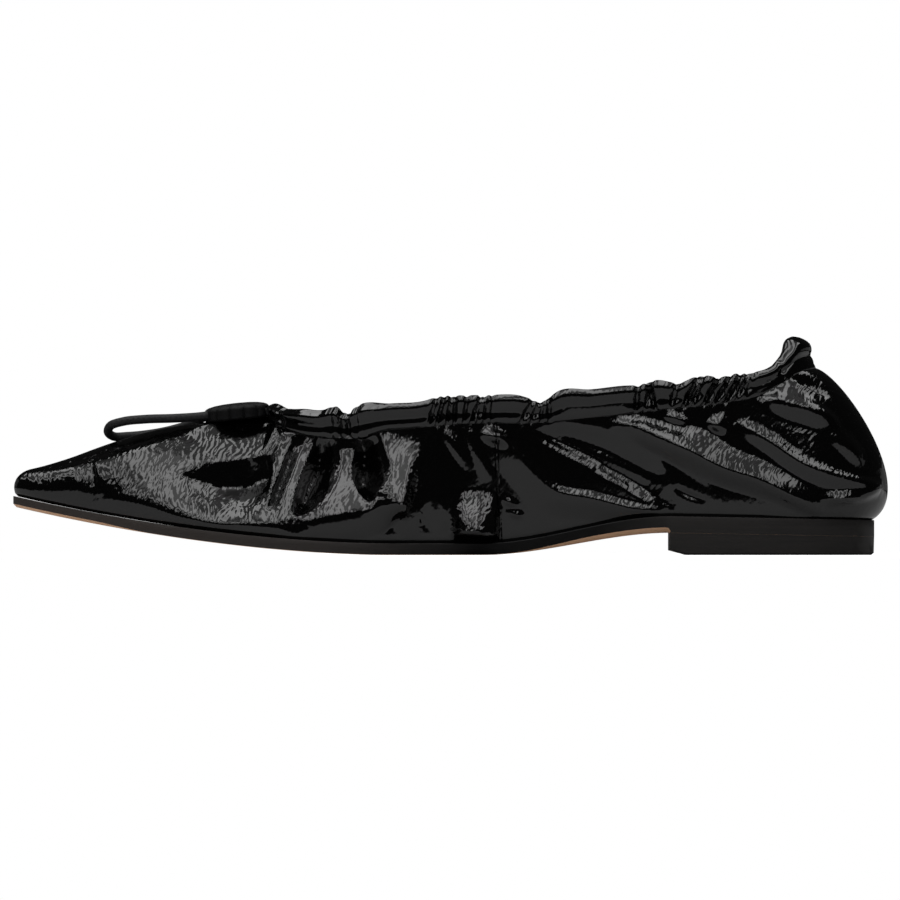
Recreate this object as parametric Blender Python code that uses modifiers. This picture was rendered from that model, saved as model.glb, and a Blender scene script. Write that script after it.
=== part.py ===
"""Pointed ballet flat for the left foot, with a gathered collar, a drawcord loop and a cord stop.

The shoe stands empty on its heel and its ball. +Z is up, the toe points to -X, the heel to +X and the
outer side of the foot to -Y. Stations are millimetres forward of the heel's rearmost bulge, and side
distances are millimetres from the straight axis through the heel's middle and the toe's tip.
"""

import math
from typing import NamedTuple

import bmesh
import bpy
import numpy as np

MM = 0.001

# Driving sizes, in millimetres
SHOE_LENGTH = 264.8
AXIS_SHIFT = 2.0
HEEL_BREAST = 66.0
HEEL_HEIGHT = 6.7
HEEL_DROP = 1.2
WAIST_FRONT = 123.0
SPRING_START = 150.0
TOE_SPRING = 14.7
SPRING_POWER = 1.8
SOLE_THICK = 3.5
SOLE_THICK_WAIST = 5.0
SOLE_THICK_TOE = 3.2
SOLE_BEVEL = 0.8
UPPER_LIP = 1.0
WALL = 1.7
CASING_WALL = 3.0
INSOLE_THICK = 2.0
GAP = 0.3
CORD_DIAMETER = 2.4
STOP_RADIUS = 9.6
STOP_FLUTE = 0.7
STOP_LOBES = 12
STOP_HEIGHT = 4.8
STOP_STATION = 197.2
STOP_BASE = 41.45
STOP_TILT = math.radians(-6.0)
STOP_BORE = 3.1
STOP_BORE_SIDE = 2.9

# How finely the lofts are cut
UPPER_COLUMNS = 56
WALL_ROWS = 11
CASING_ROWS = 3
SOLE_RUNGS = 44
HEEL_RUNGS = 22


class OutlineRow(NamedTuple):
    """Where a plan outline lies on each side of the axis at one station."""

    station: float
    lateral: float
    medial: float


class HeightRow(NamedTuple):
    """A height above the floor at one station."""

    station: float
    height: float


class CasingRow(NamedTuple):
    """The collar casing at one station: its top, how tall it is and how far it leans inward."""

    station: float
    top: float
    tall: float
    lean: float


class WallRow(NamedTuple):
    """How the wall of the upper swells at one station of its lower edge, and how it comes in to its top."""

    station: float
    swell: float
    rise_share: float
    reach_share: float
    drop_share: float


class MatchRow(NamedTuple):
    """Which station of the vamp's ridge belongs to a station of the upper's lower edge."""

    edge: float
    ridge: float


class CordPoint(NamedTuple):
    """One point that the drawcord's middle passes through."""

    station: float
    side: float
    height: float


SOLE_OUTLINE = (
    OutlineRow(264.8, 0.0, 0.0),
    OutlineRow(260.5, 6.2, 6.2),
    OutlineRow(252.0, 11.4, 11.6),
    OutlineRow(238.0, 18.4, 18.8),
    OutlineRow(220.0, 26.4, 26.4),
    OutlineRow(200.0, 34.2, 33.0),
    OutlineRow(182.0, 39.2, 36.4),
    OutlineRow(166.0, 40.6, 36.6),
    OutlineRow(148.0, 38.2, 33.2),
    OutlineRow(128.0, 33.4, 27.2),
    OutlineRow(108.0, 28.8, 22.0),
    OutlineRow(88.0, 26.2, 20.6),
    OutlineRow(66.0, 26.2, 23.6),
    OutlineRow(48.0, 26.8, 25.8),
    OutlineRow(32.0, 26.0, 25.6),
    OutlineRow(18.0, 21.8, 21.6),
    OutlineRow(8.0, 12.8, 12.8),
    OutlineRow(3.8, 0.0, 0.0),
)

COLLAR_OUTLINE = (
    OutlineRow(186.2, 0.0, 0.0),
    OutlineRow(185.2, 9.4, 9.2),
    OutlineRow(182.4, 15.6, 15.0),
    OutlineRow(177.0, 20.4, 19.4),
    OutlineRow(168.0, 24.6, 22.8),
    OutlineRow(158.0, 28.0, 25.0),
    OutlineRow(148.0, 30.8, 26.4),
    OutlineRow(138.0, 32.4, 27.0),
    OutlineRow(128.0, 31.8, 26.8),
    OutlineRow(116.0, 29.2, 25.8),
    OutlineRow(102.0, 25.8, 24.6),
    OutlineRow(86.0, 23.4, 23.8),
    OutlineRow(66.0, 23.2, 23.2),
    OutlineRow(46.0, 22.6, 22.0),
    OutlineRow(33.0, 18.4, 18.0),
    OutlineRow(25.6, 11.6, 11.4),
    OutlineRow(21.6, 0.0, 0.0),
)

CASING = (
    CasingRow(187.0, 45.6, 2.9, 0.4),
    CasingRow(183.0, 44.6, 3.8, 0.0),
    CasingRow(176.0, 44.5, 6.2, -0.4),
    CasingRow(164.0, 44.7, 7.2, -0.8),
    CasingRow(146.0, 46.0, 8.0, -0.8),
    CasingRow(128.0, 48.0, 8.4, -0.8),
    CasingRow(108.0, 48.2, 8.4, -0.8),
    CasingRow(88.0, 50.0, 8.4, -0.6),
    CasingRow(66.0, 52.4, 8.4, -0.2),
    CasingRow(48.0, 54.6, 8.4, 0.2),
    CasingRow(38.0, 57.2, 8.6, 0.8),
    CasingRow(33.0, 60.2, 8.8, 1.8),
    CasingRow(28.0, 63.8, 9.0, 3.6),
    CasingRow(21.0, 66.0, 9.2, 5.6),
)

RIDGE = (
    HeightRow(258.4, 26.2),
    HeightRow(254.0, 27.4),
    HeightRow(247.0, 29.6),
    HeightRow(240.0, 32.2),
    HeightRow(230.0, 35.6),
    HeightRow(220.0, 38.2),
    HeightRow(210.0, 39.8),
    HeightRow(200.0, 40.9),
    HeightRow(192.0, 41.7),
    HeightRow(186.2, 42.1),
)

RIDGE_MATCH = (
    MatchRow(264.0, 258.4),
    MatchRow(258.0, 255.4),
    MatchRow(250.0, 248.8),
    MatchRow(230.0, 229.4),
    MatchRow(210.0, 207.0),
    MatchRow(192.0, 186.2),
)

WALL_SHAPE = (
    WallRow(264.0, 2.4, 0.6, 0.72, 0.05),
    WallRow(252.0, 3.4, 0.5, 0.75, 0.01),
    WallRow(240.0, 4.6, 0.44, 0.75, 0.0),
    WallRow(228.0, 5.8, 0.34, 0.65, 0.0),
    WallRow(214.0, 4.4, 0.26, 0.48, 0.04),
    WallRow(200.0, 3.4, 0.22, 0.42, 0.08),
    WallRow(184.0, 3.4, 0.24, 0.34, 0.12),
    WallRow(170.0, 3.2, 0.26, 0.14, 0.22),
    WallRow(146.0, 2.2, 0.3, 0.3, 0.24),
    WallRow(130.0, 1.6, 0.3, 0.3, 0.28),
    WallRow(112.0, 1.2, 0.32, 0.3, 0.3),
    WallRow(84.0, 1.0, 0.32, 0.3, 0.3),
    WallRow(56.0, 1.6, 0.34, 0.3, 0.34),
    WallRow(30.0, 3.0, 0.28, 0.28, 0.36),
    WallRow(4.8, 15.5, 0.18, 0.506, 0.04),
)

CORD_ROUTE = (
    CordPoint(187.6, 2.9, 44.81),
    CordPoint(191.0, 2.9, 44.45),
    CordPoint(203.0, 2.9, 43.19),
    CordPoint(207.4, 2.95, 42.73),
    CordPoint(213.0, 4.4, 41.1),
    CordPoint(219.0, 6.2, 39.4),
    CordPoint(225.0, 6.6, 37.9),
    CordPoint(230.5, 5.4, 36.6),
    CordPoint(234.6, 3.3, 36.6),
    CordPoint(236.0, 0.4, 37.8),
    CordPoint(235.2, -2.4, 39.3),
    CordPoint(231.5, -4.2, 40.6),
    CordPoint(225.0, -4.6, 41.4),
    CordPoint(216.0, -3.8, 42.0),
    CordPoint(207.4, -2.95, 42.73),
    CordPoint(203.0, -2.9, 43.19),
    CordPoint(191.0, -2.9, 44.45),
    CordPoint(187.6, -2.9, 44.81),
)


def start_clean() -> None:
    """Removes whatever the scene holds, so that only the shoe is left."""
    for old in list(bpy.data.objects):
        bpy.data.objects.remove(old, do_unlink=True)


def smooth_slopes(where: np.ndarray, values: np.ndarray) -> np.ndarray:
    """Slopes at the inner points of a table, each from the parabola through it and its neighbours."""
    steps = np.diff(where)
    rises = (np.diff(values, axis=0).T / steps).T
    before, after = steps[:-1], steps[1:]
    inner = ((rises[:-1].T * after + rises[1:].T * before) / (before + after)).T
    return np.concatenate([rises[:1], inner, rises[-1:]])


def hermite(where: np.ndarray, values: np.ndarray, at: np.ndarray) -> np.ndarray:
    """Values of the smooth curve through a table at any places between its ends."""
    slopes = smooth_slopes(where, values)
    at = np.clip(at, where[0], where[-1])
    left = np.clip(np.searchsorted(where, at, side="right") - 1, 0, len(where) - 2)
    step = where[left + 1] - where[left]
    share = (at - where[left]) / step
    start = (values[left].T * (2 * share**3 - 3 * share**2 + 1)).T
    finish = (values[left + 1].T * (3 * share**2 - 2 * share**3)).T
    leaving = (slopes[left].T * (step * (share**3 - 2 * share**2 + share))).T
    arriving = (slopes[left + 1].T * (step * (share**3 - share**2))).T
    return start + finish + leaving + arriving


def column(table: tuple, name: str, at: np.ndarray) -> np.ndarray:
    """One named column of a table, read at stations; the first field of a row is its station."""
    rows = sorted(table, key=lambda row: row[0])
    where = np.array([row[0] for row in rows], float)
    values = np.array([getattr(row, name) for row in rows], float)
    return hermite(where, values, np.asarray(at, float))


def evenly(points: np.ndarray, count: int) -> np.ndarray:
    """The same line again, with count points evenly spaced along it."""
    lengths = np.linalg.norm(np.diff(points, axis=0), axis=1)
    along = np.concatenate([[0.0], np.cumsum(lengths)])
    at = np.linspace(0.0, along[-1], count)
    return np.stack([np.interp(at, along, points[:, k]) for k in range(points.shape[1])], axis=1)


def line_through(points: np.ndarray, count: int) -> np.ndarray:
    """A smooth line through the points, with count points evenly spaced along it."""
    lengths = np.linalg.norm(np.diff(points, axis=0), axis=1)
    along = np.concatenate([[0.0], np.cumsum(lengths)])
    fine = hermite(along, points, np.linspace(0.0, along[-1], 40 * len(points)))
    return evenly(fine, count)


def half_outline(table: tuple, side: str, count: int) -> np.ndarray:
    """One side of an outline from its front end to its back end, as station and side distance.

    The row next to each end is repeated across the axis, so the line crosses the axis square to it.
    """
    sign = -1.0 if side == "lateral" else 1.0
    rows = [(row.station, sign * getattr(row, side)) for row in table]
    other = "medial" if side == "lateral" else "lateral"
    first = (table[1].station, -sign * getattr(table[1], other))
    last = (table[-2].station, -sign * getattr(table[-2], other))
    points = np.array([first, *rows, last], float)
    lengths = np.linalg.norm(np.diff(points, axis=0), axis=1)
    along = np.concatenate([[0.0], np.cumsum(lengths)])
    fine = hermite(along, points, np.linspace(along[1], along[-2], 40 * len(points)))
    return evenly(fine, count)


def outward(line: np.ndarray, side: str) -> np.ndarray:
    """Unit directions square to an outline and away from its inside; the ends point along the axis."""
    run = np.gradient(line, axis=0)
    run[[0, -1]] = [0.0, -1.0 if side == "lateral" else 1.0]
    run[-1] = -run[-1]
    run /= np.linalg.norm(run, axis=1)[:, None]
    turn = np.stack([run[:, 1], -run[:, 0]], axis=1)
    return -turn if side == "lateral" else turn


def ease(share: np.ndarray) -> np.ndarray:
    """A soft step from 0 to 1."""
    share = np.clip(share, 0.0, 1.0)
    return share * share * (3.0 - 2.0 * share)


def sole_bottom(station: np.ndarray) -> np.ndarray:
    """Height of the sole's underside: level at the ball, rising to the heel and to the toe."""
    station = np.asarray(station, float)
    waist = HEEL_HEIGHT * ease((WAIST_FRONT - station) / (WAIST_FRONT - HEEL_BREAST))
    seat = HEEL_DROP * np.clip((HEEL_BREAST - station) / HEEL_BREAST, 0.0, 1.0)
    forward = np.clip(station - SPRING_START, 0.0, None) / (SHOE_LENGTH - SPRING_START)
    return waist - seat + TOE_SPRING * forward**SPRING_POWER


def sole_top(station: np.ndarray) -> np.ndarray:
    """Height of the sole's upper face; the sole thins towards the toe and thickens behind the ball."""
    station = np.asarray(station, float)
    thinner = (SOLE_THICK - SOLE_THICK_TOE) * ease((station - SPRING_START) / (SHOE_LENGTH - SPRING_START))
    thicker = (SOLE_THICK_WAIST - SOLE_THICK) * ease((WAIST_FRONT - station) / (WAIST_FRONT - HEEL_BREAST))
    return sole_bottom(station) + SOLE_THICK - thinner + thicker


def heel_bottom(station: np.ndarray) -> np.ndarray:
    """Height of the heel's underside: level, with a short slope up to the breast edge."""
    return 1.4 * np.clip((np.asarray(station, float) - HEEL_BREAST + 5.0) / 5.0, 0.0, 1.0)


def to_place(station: np.ndarray, side: np.ndarray, height: np.ndarray) -> np.ndarray:
    """Points in metres from stations, side distances and heights in millimetres."""
    station, side, height = np.broadcast_arrays(station, side, height)
    return np.stack([SHOE_LENGTH / 2 - station, side + AXIS_SHIFT, height], axis=-1) * MM


def finish(name: str, tint: tuple, roughness: float) -> bpy.types.Material:
    """A plain material for one piece."""
    material = bpy.data.materials.new(name)
    material.use_nodes = True
    shader = material.node_tree.nodes["Principled BSDF"]
    shader.inputs["Base Color"].default_value = (*tint, 1.0)
    shader.inputs["Roughness"].default_value = roughness
    material.diffuse_color = (*tint, 1.0)
    return material


def add_piece(
    home: bpy.types.Collection, name: str, points: np.ndarray, faces: list
) -> bpy.types.Object:
    """A mesh object from loft points and faces, with doubled points joined and faces turned out."""
    mesh = bpy.data.meshes.new(name)
    mesh.from_pydata(points.tolist(), [], faces)
    work = bmesh.new()
    work.from_mesh(mesh)
    bmesh.ops.remove_doubles(work, verts=work.verts, dist=0.01 * MM)
    bmesh.ops.dissolve_degenerate(work, edges=work.edges, dist=0.01 * MM)
    bmesh.ops.recalc_face_normals(work, faces=work.faces)
    work.to_mesh(mesh)
    work.free()
    piece = bpy.data.objects.new(name, mesh)
    home.objects.link(piece)
    return piece


def ladder(sections: np.ndarray) -> list:
    """Faces of a bar lofted through closed sections, with both of its ends closed."""
    rungs, corners = sections.shape[:2]
    faces = []
    for rung in range(rungs - 1):
        for corner in range(corners):
            following = (corner + 1) % corners
            here, there = rung * corners, (rung + 1) * corners
            faces.append((here + corner, here + following, there + following, there + corner))
    faces.append(tuple(range(corners)))
    faces.append(tuple((rungs - 1) * corners + corner for corner in reversed(range(corners))))
    return faces


def inset_side(side: str, inset: float, count: int) -> np.ndarray:
    """One side of the sole's outline moved inward by a distance."""
    line = half_outline(SOLE_OUTLINE, side, count)
    return line - inset * outward(line, side)


def slab_sections(inset: float, low, high, bevel: float, count: int) -> np.ndarray:
    """Sections of a slab with the sole's outline: its edge upright, its lower corners bevelled."""
    left, right = inset_side("lateral", inset, count), inset_side("medial", inset, count)
    left_low = inset_side("lateral", inset + bevel, count)
    right_low = inset_side("medial", inset + bevel, count)
    corners = [
        to_place(left_low[:, 0], left_low[:, 1], low(left_low[:, 0])),
        to_place(left[:, 0], left[:, 1], low(left[:, 0]) + bevel),
        to_place(left[:, 0], left[:, 1], high(left[:, 0])),
        to_place(right[:, 0], right[:, 1], high(right[:, 0])),
        to_place(right[:, 0], right[:, 1], low(right[:, 0]) + bevel),
        to_place(right_low[:, 0], right_low[:, 1], low(right_low[:, 0])),
    ]
    return np.stack(corners, axis=1)


def build_outsole(home: bpy.types.Collection) -> bpy.types.Object:
    """The sole: level at the ball, arched at the waist, sprung at the toe, with a bevelled lower edge."""
    sections = slab_sections(0.0, sole_bottom, sole_top, SOLE_BEVEL, SOLE_RUNGS)
    sole = add_piece(home, "outsole", sections.reshape(-1, 3), ladder(sections))
    sole.data.materials.append(finish("sole_edge", (0.012, 0.012, 0.012), 0.45))
    return sole


def build_insole(home: bpy.types.Collection) -> bpy.types.Object:
    """The sock lining that lies on the sole inside the upper."""
    inset = UPPER_LIP + WALL + 0.5
    sections = slab_sections(
        inset,
        lambda station: sole_top(station) + GAP,
        lambda station: sole_top(station) + GAP + INSOLE_THICK,
        0.3,
        SOLE_RUNGS,
    )
    insole = add_piece(home, "insole", sections.reshape(-1, 3), ladder(sections))
    insole.data.materials.append(finish("lining", (0.02, 0.02, 0.02), 0.6))
    return insole


def rear_part(line: np.ndarray, count: int) -> np.ndarray:
    """The part of an outline behind the heel's breast, from the breast to the back."""
    behind = line[line[:, 0] < HEEL_BREAST - 0.4]
    side = np.interp(HEEL_BREAST, line[::-1, 0], line[::-1, 1])
    return evenly(np.concatenate([[[HEEL_BREAST, side]], behind]), count)


def build_heel(home: bpy.types.Collection) -> bpy.types.Object:
    """The low heel block: an upright breast, the sole's outline behind it and bevelled lower corners."""
    lines = {}
    for side in ("lateral", "medial"):
        for name, inset in (("top", 0.5), ("foot", 0.3), ("tread", 1.0)):
            lines[side, name] = rear_part(inset_side(side, inset, 160), HEEL_RUNGS)
    corners = []
    for side, names in (("lateral", ("tread", "foot", "top")), ("medial", ("top", "foot", "tread"))):
        for name in names:
            line = lines[side, name]
            heights = {
                "top": sole_bottom(line[:, 0]) - GAP,
                "foot": heel_bottom(line[:, 0]) + 0.7,
                "tread": heel_bottom(line[:, 0]),
            }
            corners.append(to_place(line[:, 0], line[:, 1], heights[name]))
    sections = np.stack(corners, axis=1)
    heel = add_piece(home, "heel", sections.reshape(-1, 3), ladder(sections))
    heel.data.materials.append(finish("heel_block", (0.012, 0.012, 0.012), 0.5))
    return heel


class UpperSide(NamedTuple):
    """One side of the upper from the toe to the heel: lower edge, wall top and casing top, in mm."""

    wall: np.ndarray
    casing: np.ndarray
    collar_start: int


def upper_side(side: str) -> UpperSide:
    """Works out one side of the upper, its columns running from the toe's tip to the back of the heel.

    A column's wall is a cubic bow from the lower edge F to its top B: it leaves F rising with a swell
    outward and comes in to B level at the ridge and steeply at the collar. Ahead of the throat B is on the
    vamp's ridge; behind it B is on the collar's outline, where the casing stands up from it.
    """
    edge = half_outline(SOLE_OUTLINE, side, UPPER_COLUMNS)
    away = outward(edge, side)
    edge = edge - UPPER_LIP * away
    throat = int(np.argmin(np.abs(edge[:, 0] - RIDGE_MATCH[-1].edge)))
    collar = half_outline(COLLAR_OUTLINE, side, UPPER_COLUMNS - throat)
    ridge_station = column(RIDGE_MATCH, "ridge", edge[:throat, 0])
    ridge = np.stack([ridge_station, np.zeros(throat)], axis=1)
    top = np.concatenate([ridge, collar])
    collar_height = column(CASING, "top", collar[:, 0]) - column(CASING, "tall", collar[:, 0])
    top_height = np.concatenate([column(RIDGE, "height", ridge_station), collar_height])
    top_height[throat] = column(RIDGE, "height", collar[:1, 0])[0]
    edge_height = sole_top(edge[:, 0]) + GAP
    straight = edge - top
    straight /= np.linalg.norm(straight, axis=1)[:, None]
    share = ease((np.arange(UPPER_COLUMNS) - throat) / 9.0)[:, None]
    towards = straight * (1.0 - share) + away * share
    towards /= np.linalg.norm(towards, axis=1)[:, None]
    shape = {name: column(WALL_SHAPE, name, edge[:, 0]) for name in WallRow._fields[1:]}
    first = np.column_stack([edge, edge_height])
    last = np.column_stack([top, top_height])
    rise = shape["rise_share"] * (top_height - edge_height)
    leave = first + np.column_stack([away * shape["swell"][:, None], rise])
    across = np.sum((edge - top) * towards, axis=1)
    reach = np.maximum(across * shape["reach_share"], 1.0)
    drop = shape["drop_share"] * (top_height - edge_height)
    arrive = last + np.column_stack([towards * reach[:, None], -drop])
    at = np.linspace(0.0, 1.0, WALL_ROWS + 1)[None, :, None]
    bow = (
        first[:, None] * (1 - at) ** 3
        + 3 * leave[:, None] * at * (1 - at) ** 2
        + 3 * arrive[:, None] * at**2 * (1 - at)
        + last[:, None] * at**3
    )
    return UpperSide(bow, casing_rows(collar, last[throat:, 2], side), throat)


def casing_rows(collar: np.ndarray, base: np.ndarray, side: str) -> np.ndarray:
    """Rows of the casing above the wall's top: it stands up, leans in and bows out a little midway."""
    away = outward(collar, side)
    lean = column(CASING, "lean", collar[:, 0])
    rise = column(CASING, "top", collar[:, 0]) - base
    shares = np.linspace(0.0, 1.0, CASING_ROWS + 1)[1:]
    rows = []
    for share in shares:
        bow = 0.8 * math.sin(math.pi * share)
        place = collar + away * (bow - lean * share)[:, None]
        rows.append(np.column_stack([place, base + rise * share]))
    return np.stack(rows, axis=1)


def grid_faces(start: int, columns: int, rows: int) -> list:
    """Faces of a grid whose points run up each column in turn, from a first point's number."""
    faces = []
    for place in range(columns - 1):
        for row in range(rows - 1):
            here = start + place * rows + row
            there = here + rows
            faces.append((here, there, there + 1, here + 1))
    return faces


def build_upper(home: bpy.types.Collection) -> bpy.types.Object:
    """The hollow upper: one surface from the lower edge to the casing's top, thickened inwards."""
    points, faces = [], []
    for side in ("lateral", "medial"):
        half = upper_side(side)
        band = np.concatenate([half.wall[half.collar_start :, -1:], half.casing], axis=1)
        for grid in (half.wall, band):
            start = sum(len(block) for block in points)
            points.append(grid.reshape(-1, 3))
            faces += grid_faces(start, grid.shape[0], grid.shape[1])
    flat = np.concatenate(points)
    upper = add_piece(home, "upper", to_place(flat[:, 0], flat[:, 1], flat[:, 2]), faces)
    turn_outwards(upper)
    thicken(upper)
    upper.data.materials.append(finish("patent_leather", (0.01, 0.01, 0.01), 0.12))
    return upper


def turn_outwards(piece: bpy.types.Object) -> None:
    """Turns an open shell's faces away from the shoe's middle."""
    work = bmesh.new()
    work.from_mesh(piece.data)
    lowest = min(work.faces, key=lambda face: face.calc_center_median().x)
    if lowest.normal.x > 0.0:
        bmesh.ops.reverse_faces(work, faces=work.faces)
    work.to_mesh(piece.data)
    work.free()


def thicken(upper: bpy.types.Object) -> None:
    """Gives the upper its wall, thicker at the casing where the leather is folded over the elastic."""
    group = upper.vertex_groups.new(name="casing")
    rows = sorted(CASING)
    stations = np.array([row.station for row in rows])
    tops = np.array([row.top for row in rows])
    talls = np.array([row.tall for row in rows])
    for vertex in upper.data.vertices:
        station = SHOE_LENGTH / 2 - vertex.co.x / MM
        below = np.interp(station, stations, tops) - vertex.co.z / MM
        folded = below < 0.8 * np.interp(station, stations, talls)
        behind_throat = station < COLLAR_OUTLINE[0].station
        share = 1.0 if folded and behind_throat else WALL / CASING_WALL
        group.add([vertex.index], share, "REPLACE")
    shell = upper.modifiers.new("wall", "SOLIDIFY")
    shell.thickness = CASING_WALL * MM
    shell.offset = -1.0
    shell.vertex_group = group.name
    shell.use_even_offset = False


def build_cord(home: bpy.types.Collection) -> bpy.types.Object:
    """The drawcord: out of the casing at the throat, through the stop, forward, round and back."""
    route = np.array(CORD_ROUTE, float)
    fine = line_through(route, 62)
    line = bpy.data.curves.new("drawcord", "CURVE")
    line.dimensions = "3D"
    spline = line.splines.new("POLY")
    spline.points.add(len(fine) - 1)
    for point, place in zip(spline.points, to_place(fine[:, 0], fine[:, 1], fine[:, 2])):
        point.co = (*place, 1.0)
    line.bevel_depth = CORD_DIAMETER / 2 * MM
    line.bevel_resolution = 2
    line.use_fill_caps = True
    cord = bpy.data.objects.new("drawcord", line)
    home.objects.link(cord)
    line.materials.append(finish("cord", (0.012, 0.012, 0.012), 0.7))
    return cord


def build_cord_stop(home: bpy.types.Collection, tools: bpy.types.Collection) -> bpy.types.Object:
    """The scalloped round stop with its two bores for the cord."""
    steps = STOP_LOBES * 8
    turn = np.arange(steps) * 2 * math.pi / steps
    rim = STOP_RADIUS - STOP_FLUTE * (1.0 - np.abs(np.cos(turn * STOP_LOBES / 2))) ** 1.5
    levels = (
        (0.0, -0.6),
        (0.6, 0.0),
        (STOP_HEIGHT - 0.9, 0.0),
        (STOP_HEIGHT - 0.25, -0.4),
        (STOP_HEIGHT, -1.1),
    )
    rings = [
        np.stack([(rim + inset) * np.cos(turn), (rim + inset) * np.sin(turn), 0 * turn + height], axis=1)
        for height, inset in levels
    ]
    sections = np.stack(rings)
    stop = add_piece(home, "cord_stop", sections.reshape(-1, 3) * MM, ladder(sections))
    stop.location = to_place(STOP_STATION, 0.0, STOP_BASE)
    stop.rotation_euler = (0.0, STOP_TILT, 0.0)
    for name, side in (("bore_lateral", -STOP_BORE_SIDE), ("bore_medial", STOP_BORE_SIDE)):
        bpy.ops.mesh.primitive_cylinder_add(vertices=20, radius=STOP_BORE / 2 * MM, depth=30 * MM)
        bore = bpy.context.object
        bore.name = name
        bore.rotation_euler = (0.0, math.pi / 2 + STOP_TILT, 0.0)
        bore.location = to_place(STOP_STATION, side, STOP_BASE + STOP_HEIGHT / 2 - 0.05)
        bore.hide_render = True
        bore.display_type = "WIRE"
        for owner in list(bore.users_collection):
            owner.objects.unlink(bore)
        tools.objects.link(bore)
        cut = stop.modifiers.new(name, "BOOLEAN")
        cut.operation = "DIFFERENCE"
        cut.solver = "EXACT"
        cut.object = bore
    stop.data.materials.append(finish("stop_rubber", (0.015, 0.015, 0.015), 0.55))
    return stop


def build() -> None:
    """Builds the shoe, piece by piece from the floor up."""
    start_clean()
    shoe = bpy.data.collections.new("pointed_flat")
    tools = bpy.data.collections.new("cutters")
    bpy.context.scene.collection.children.link(shoe)
    bpy.context.scene.collection.children.link(tools)
    build_outsole(shoe)
    build_heel(shoe)
    build_insole(shoe)
    build_upper(shoe)
    build_cord_stop(shoe, tools)
    build_cord(shoe)


build()
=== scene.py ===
"""Looks of the pointed ballet flat: crinkled patent upper with a gathered collar, sole, heel and drawcord.

Stations are millimetres forward of the heel's rearmost bulge, side distances are millimetres from the
straight axis through the heel's middle and the toe's tip, and heights are millimetres above the floor.
"""

import logging
import math
from dataclasses import dataclass
from enum import Enum
from typing import Any, Callable, NamedTuple, Optional

import bmesh
import bpy
import numpy as np
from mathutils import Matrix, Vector


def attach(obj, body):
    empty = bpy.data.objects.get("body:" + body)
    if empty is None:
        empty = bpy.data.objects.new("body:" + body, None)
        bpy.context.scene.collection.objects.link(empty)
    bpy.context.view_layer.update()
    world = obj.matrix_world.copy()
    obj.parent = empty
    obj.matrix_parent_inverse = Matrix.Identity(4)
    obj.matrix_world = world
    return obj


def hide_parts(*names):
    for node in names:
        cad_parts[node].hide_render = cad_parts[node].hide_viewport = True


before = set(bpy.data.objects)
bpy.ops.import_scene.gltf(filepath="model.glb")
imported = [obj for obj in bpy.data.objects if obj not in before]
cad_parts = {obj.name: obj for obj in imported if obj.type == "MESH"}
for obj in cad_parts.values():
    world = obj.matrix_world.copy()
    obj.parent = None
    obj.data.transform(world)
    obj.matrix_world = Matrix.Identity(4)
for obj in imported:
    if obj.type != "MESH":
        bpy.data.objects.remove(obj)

MM = 0.001
LOG = logging.getLogger("pointed_flat")
SHARP_ANGLE = math.radians(38.0)


class Side(Enum):
    """The two sides of the foot, with the sign of their side distance."""

    LATERAL = -1.0
    MEDIAL = 1.0

    @property
    def other(self) -> "Side":
        """The opposite side."""
        return Side.MEDIAL if self is Side.LATERAL else Side.LATERAL


class OutlineRow(NamedTuple):
    """Where a plan outline lies on each side of the axis at one station."""

    station: float
    lateral: float
    medial: float


class HeightRow(NamedTuple):
    """A height above the floor at one station."""

    station: float
    height: float


class CasingRow(NamedTuple):
    """The collar casing at one station: its top, how tall it is and how far it leans inward."""

    station: float
    top: float
    tall: float
    lean: float


class WallRow(NamedTuple):
    """How the wall of the upper swells at one station of its lower edge, and how it comes in to its top."""

    station: float
    swell: float
    rise_share: float
    reach_share: float
    drop_share: float


class MatchRow(NamedTuple):
    """Which station of the vamp's ridge belongs to a station of the upper's lower edge."""

    edge: float
    ridge: float


class CordPoint(NamedTuple):
    """One point that the drawcord's middle passes through."""

    station: float
    side: float
    height: float


class FoldRow(NamedTuple):
    """One crease of the upper, drawn on the outer side from the toe's end towards the heel's end.

    Its path is a row of stations and heights. For each of them push is how far the crest stands out (or
    the floor lies in, where negative), and above and below are the widths of the flanks to the left and
    to the right of the path, all in millimetres; a single value stands for the whole path. Soft is 1 for
    a rounded crest and less for a sharper one.
    """

    path: tuple
    push: tuple
    above: tuple
    below: tuple
    soft: float


class PinchRow(NamedTuple):
    """One pinch of the gathered collar: how deep, how wide, its slant and how far it runs down the wall."""

    station: float
    depth: float
    width: float
    slant: float
    reach: float


SOLE_OUTLINE = (
    OutlineRow(264.8, 0.0, 0.0),
    OutlineRow(260.5, 6.2, 6.2),
    OutlineRow(252.0, 11.4, 11.6),
    OutlineRow(238.0, 18.4, 18.8),
    OutlineRow(220.0, 26.4, 26.4),
    OutlineRow(200.0, 34.2, 33.0),
    OutlineRow(182.0, 39.2, 36.4),
    OutlineRow(166.0, 40.6, 36.6),
    OutlineRow(148.0, 38.2, 33.2),
    OutlineRow(128.0, 33.4, 27.2),
    OutlineRow(108.0, 28.8, 22.0),
    OutlineRow(88.0, 26.2, 20.6),
    OutlineRow(66.0, 26.2, 23.6),
    OutlineRow(48.0, 26.8, 25.8),
    OutlineRow(32.0, 26.0, 25.6),
    OutlineRow(18.0, 21.8, 21.6),
    OutlineRow(8.0, 12.8, 12.8),
    OutlineRow(3.8, 0.0, 0.0),
)

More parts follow.
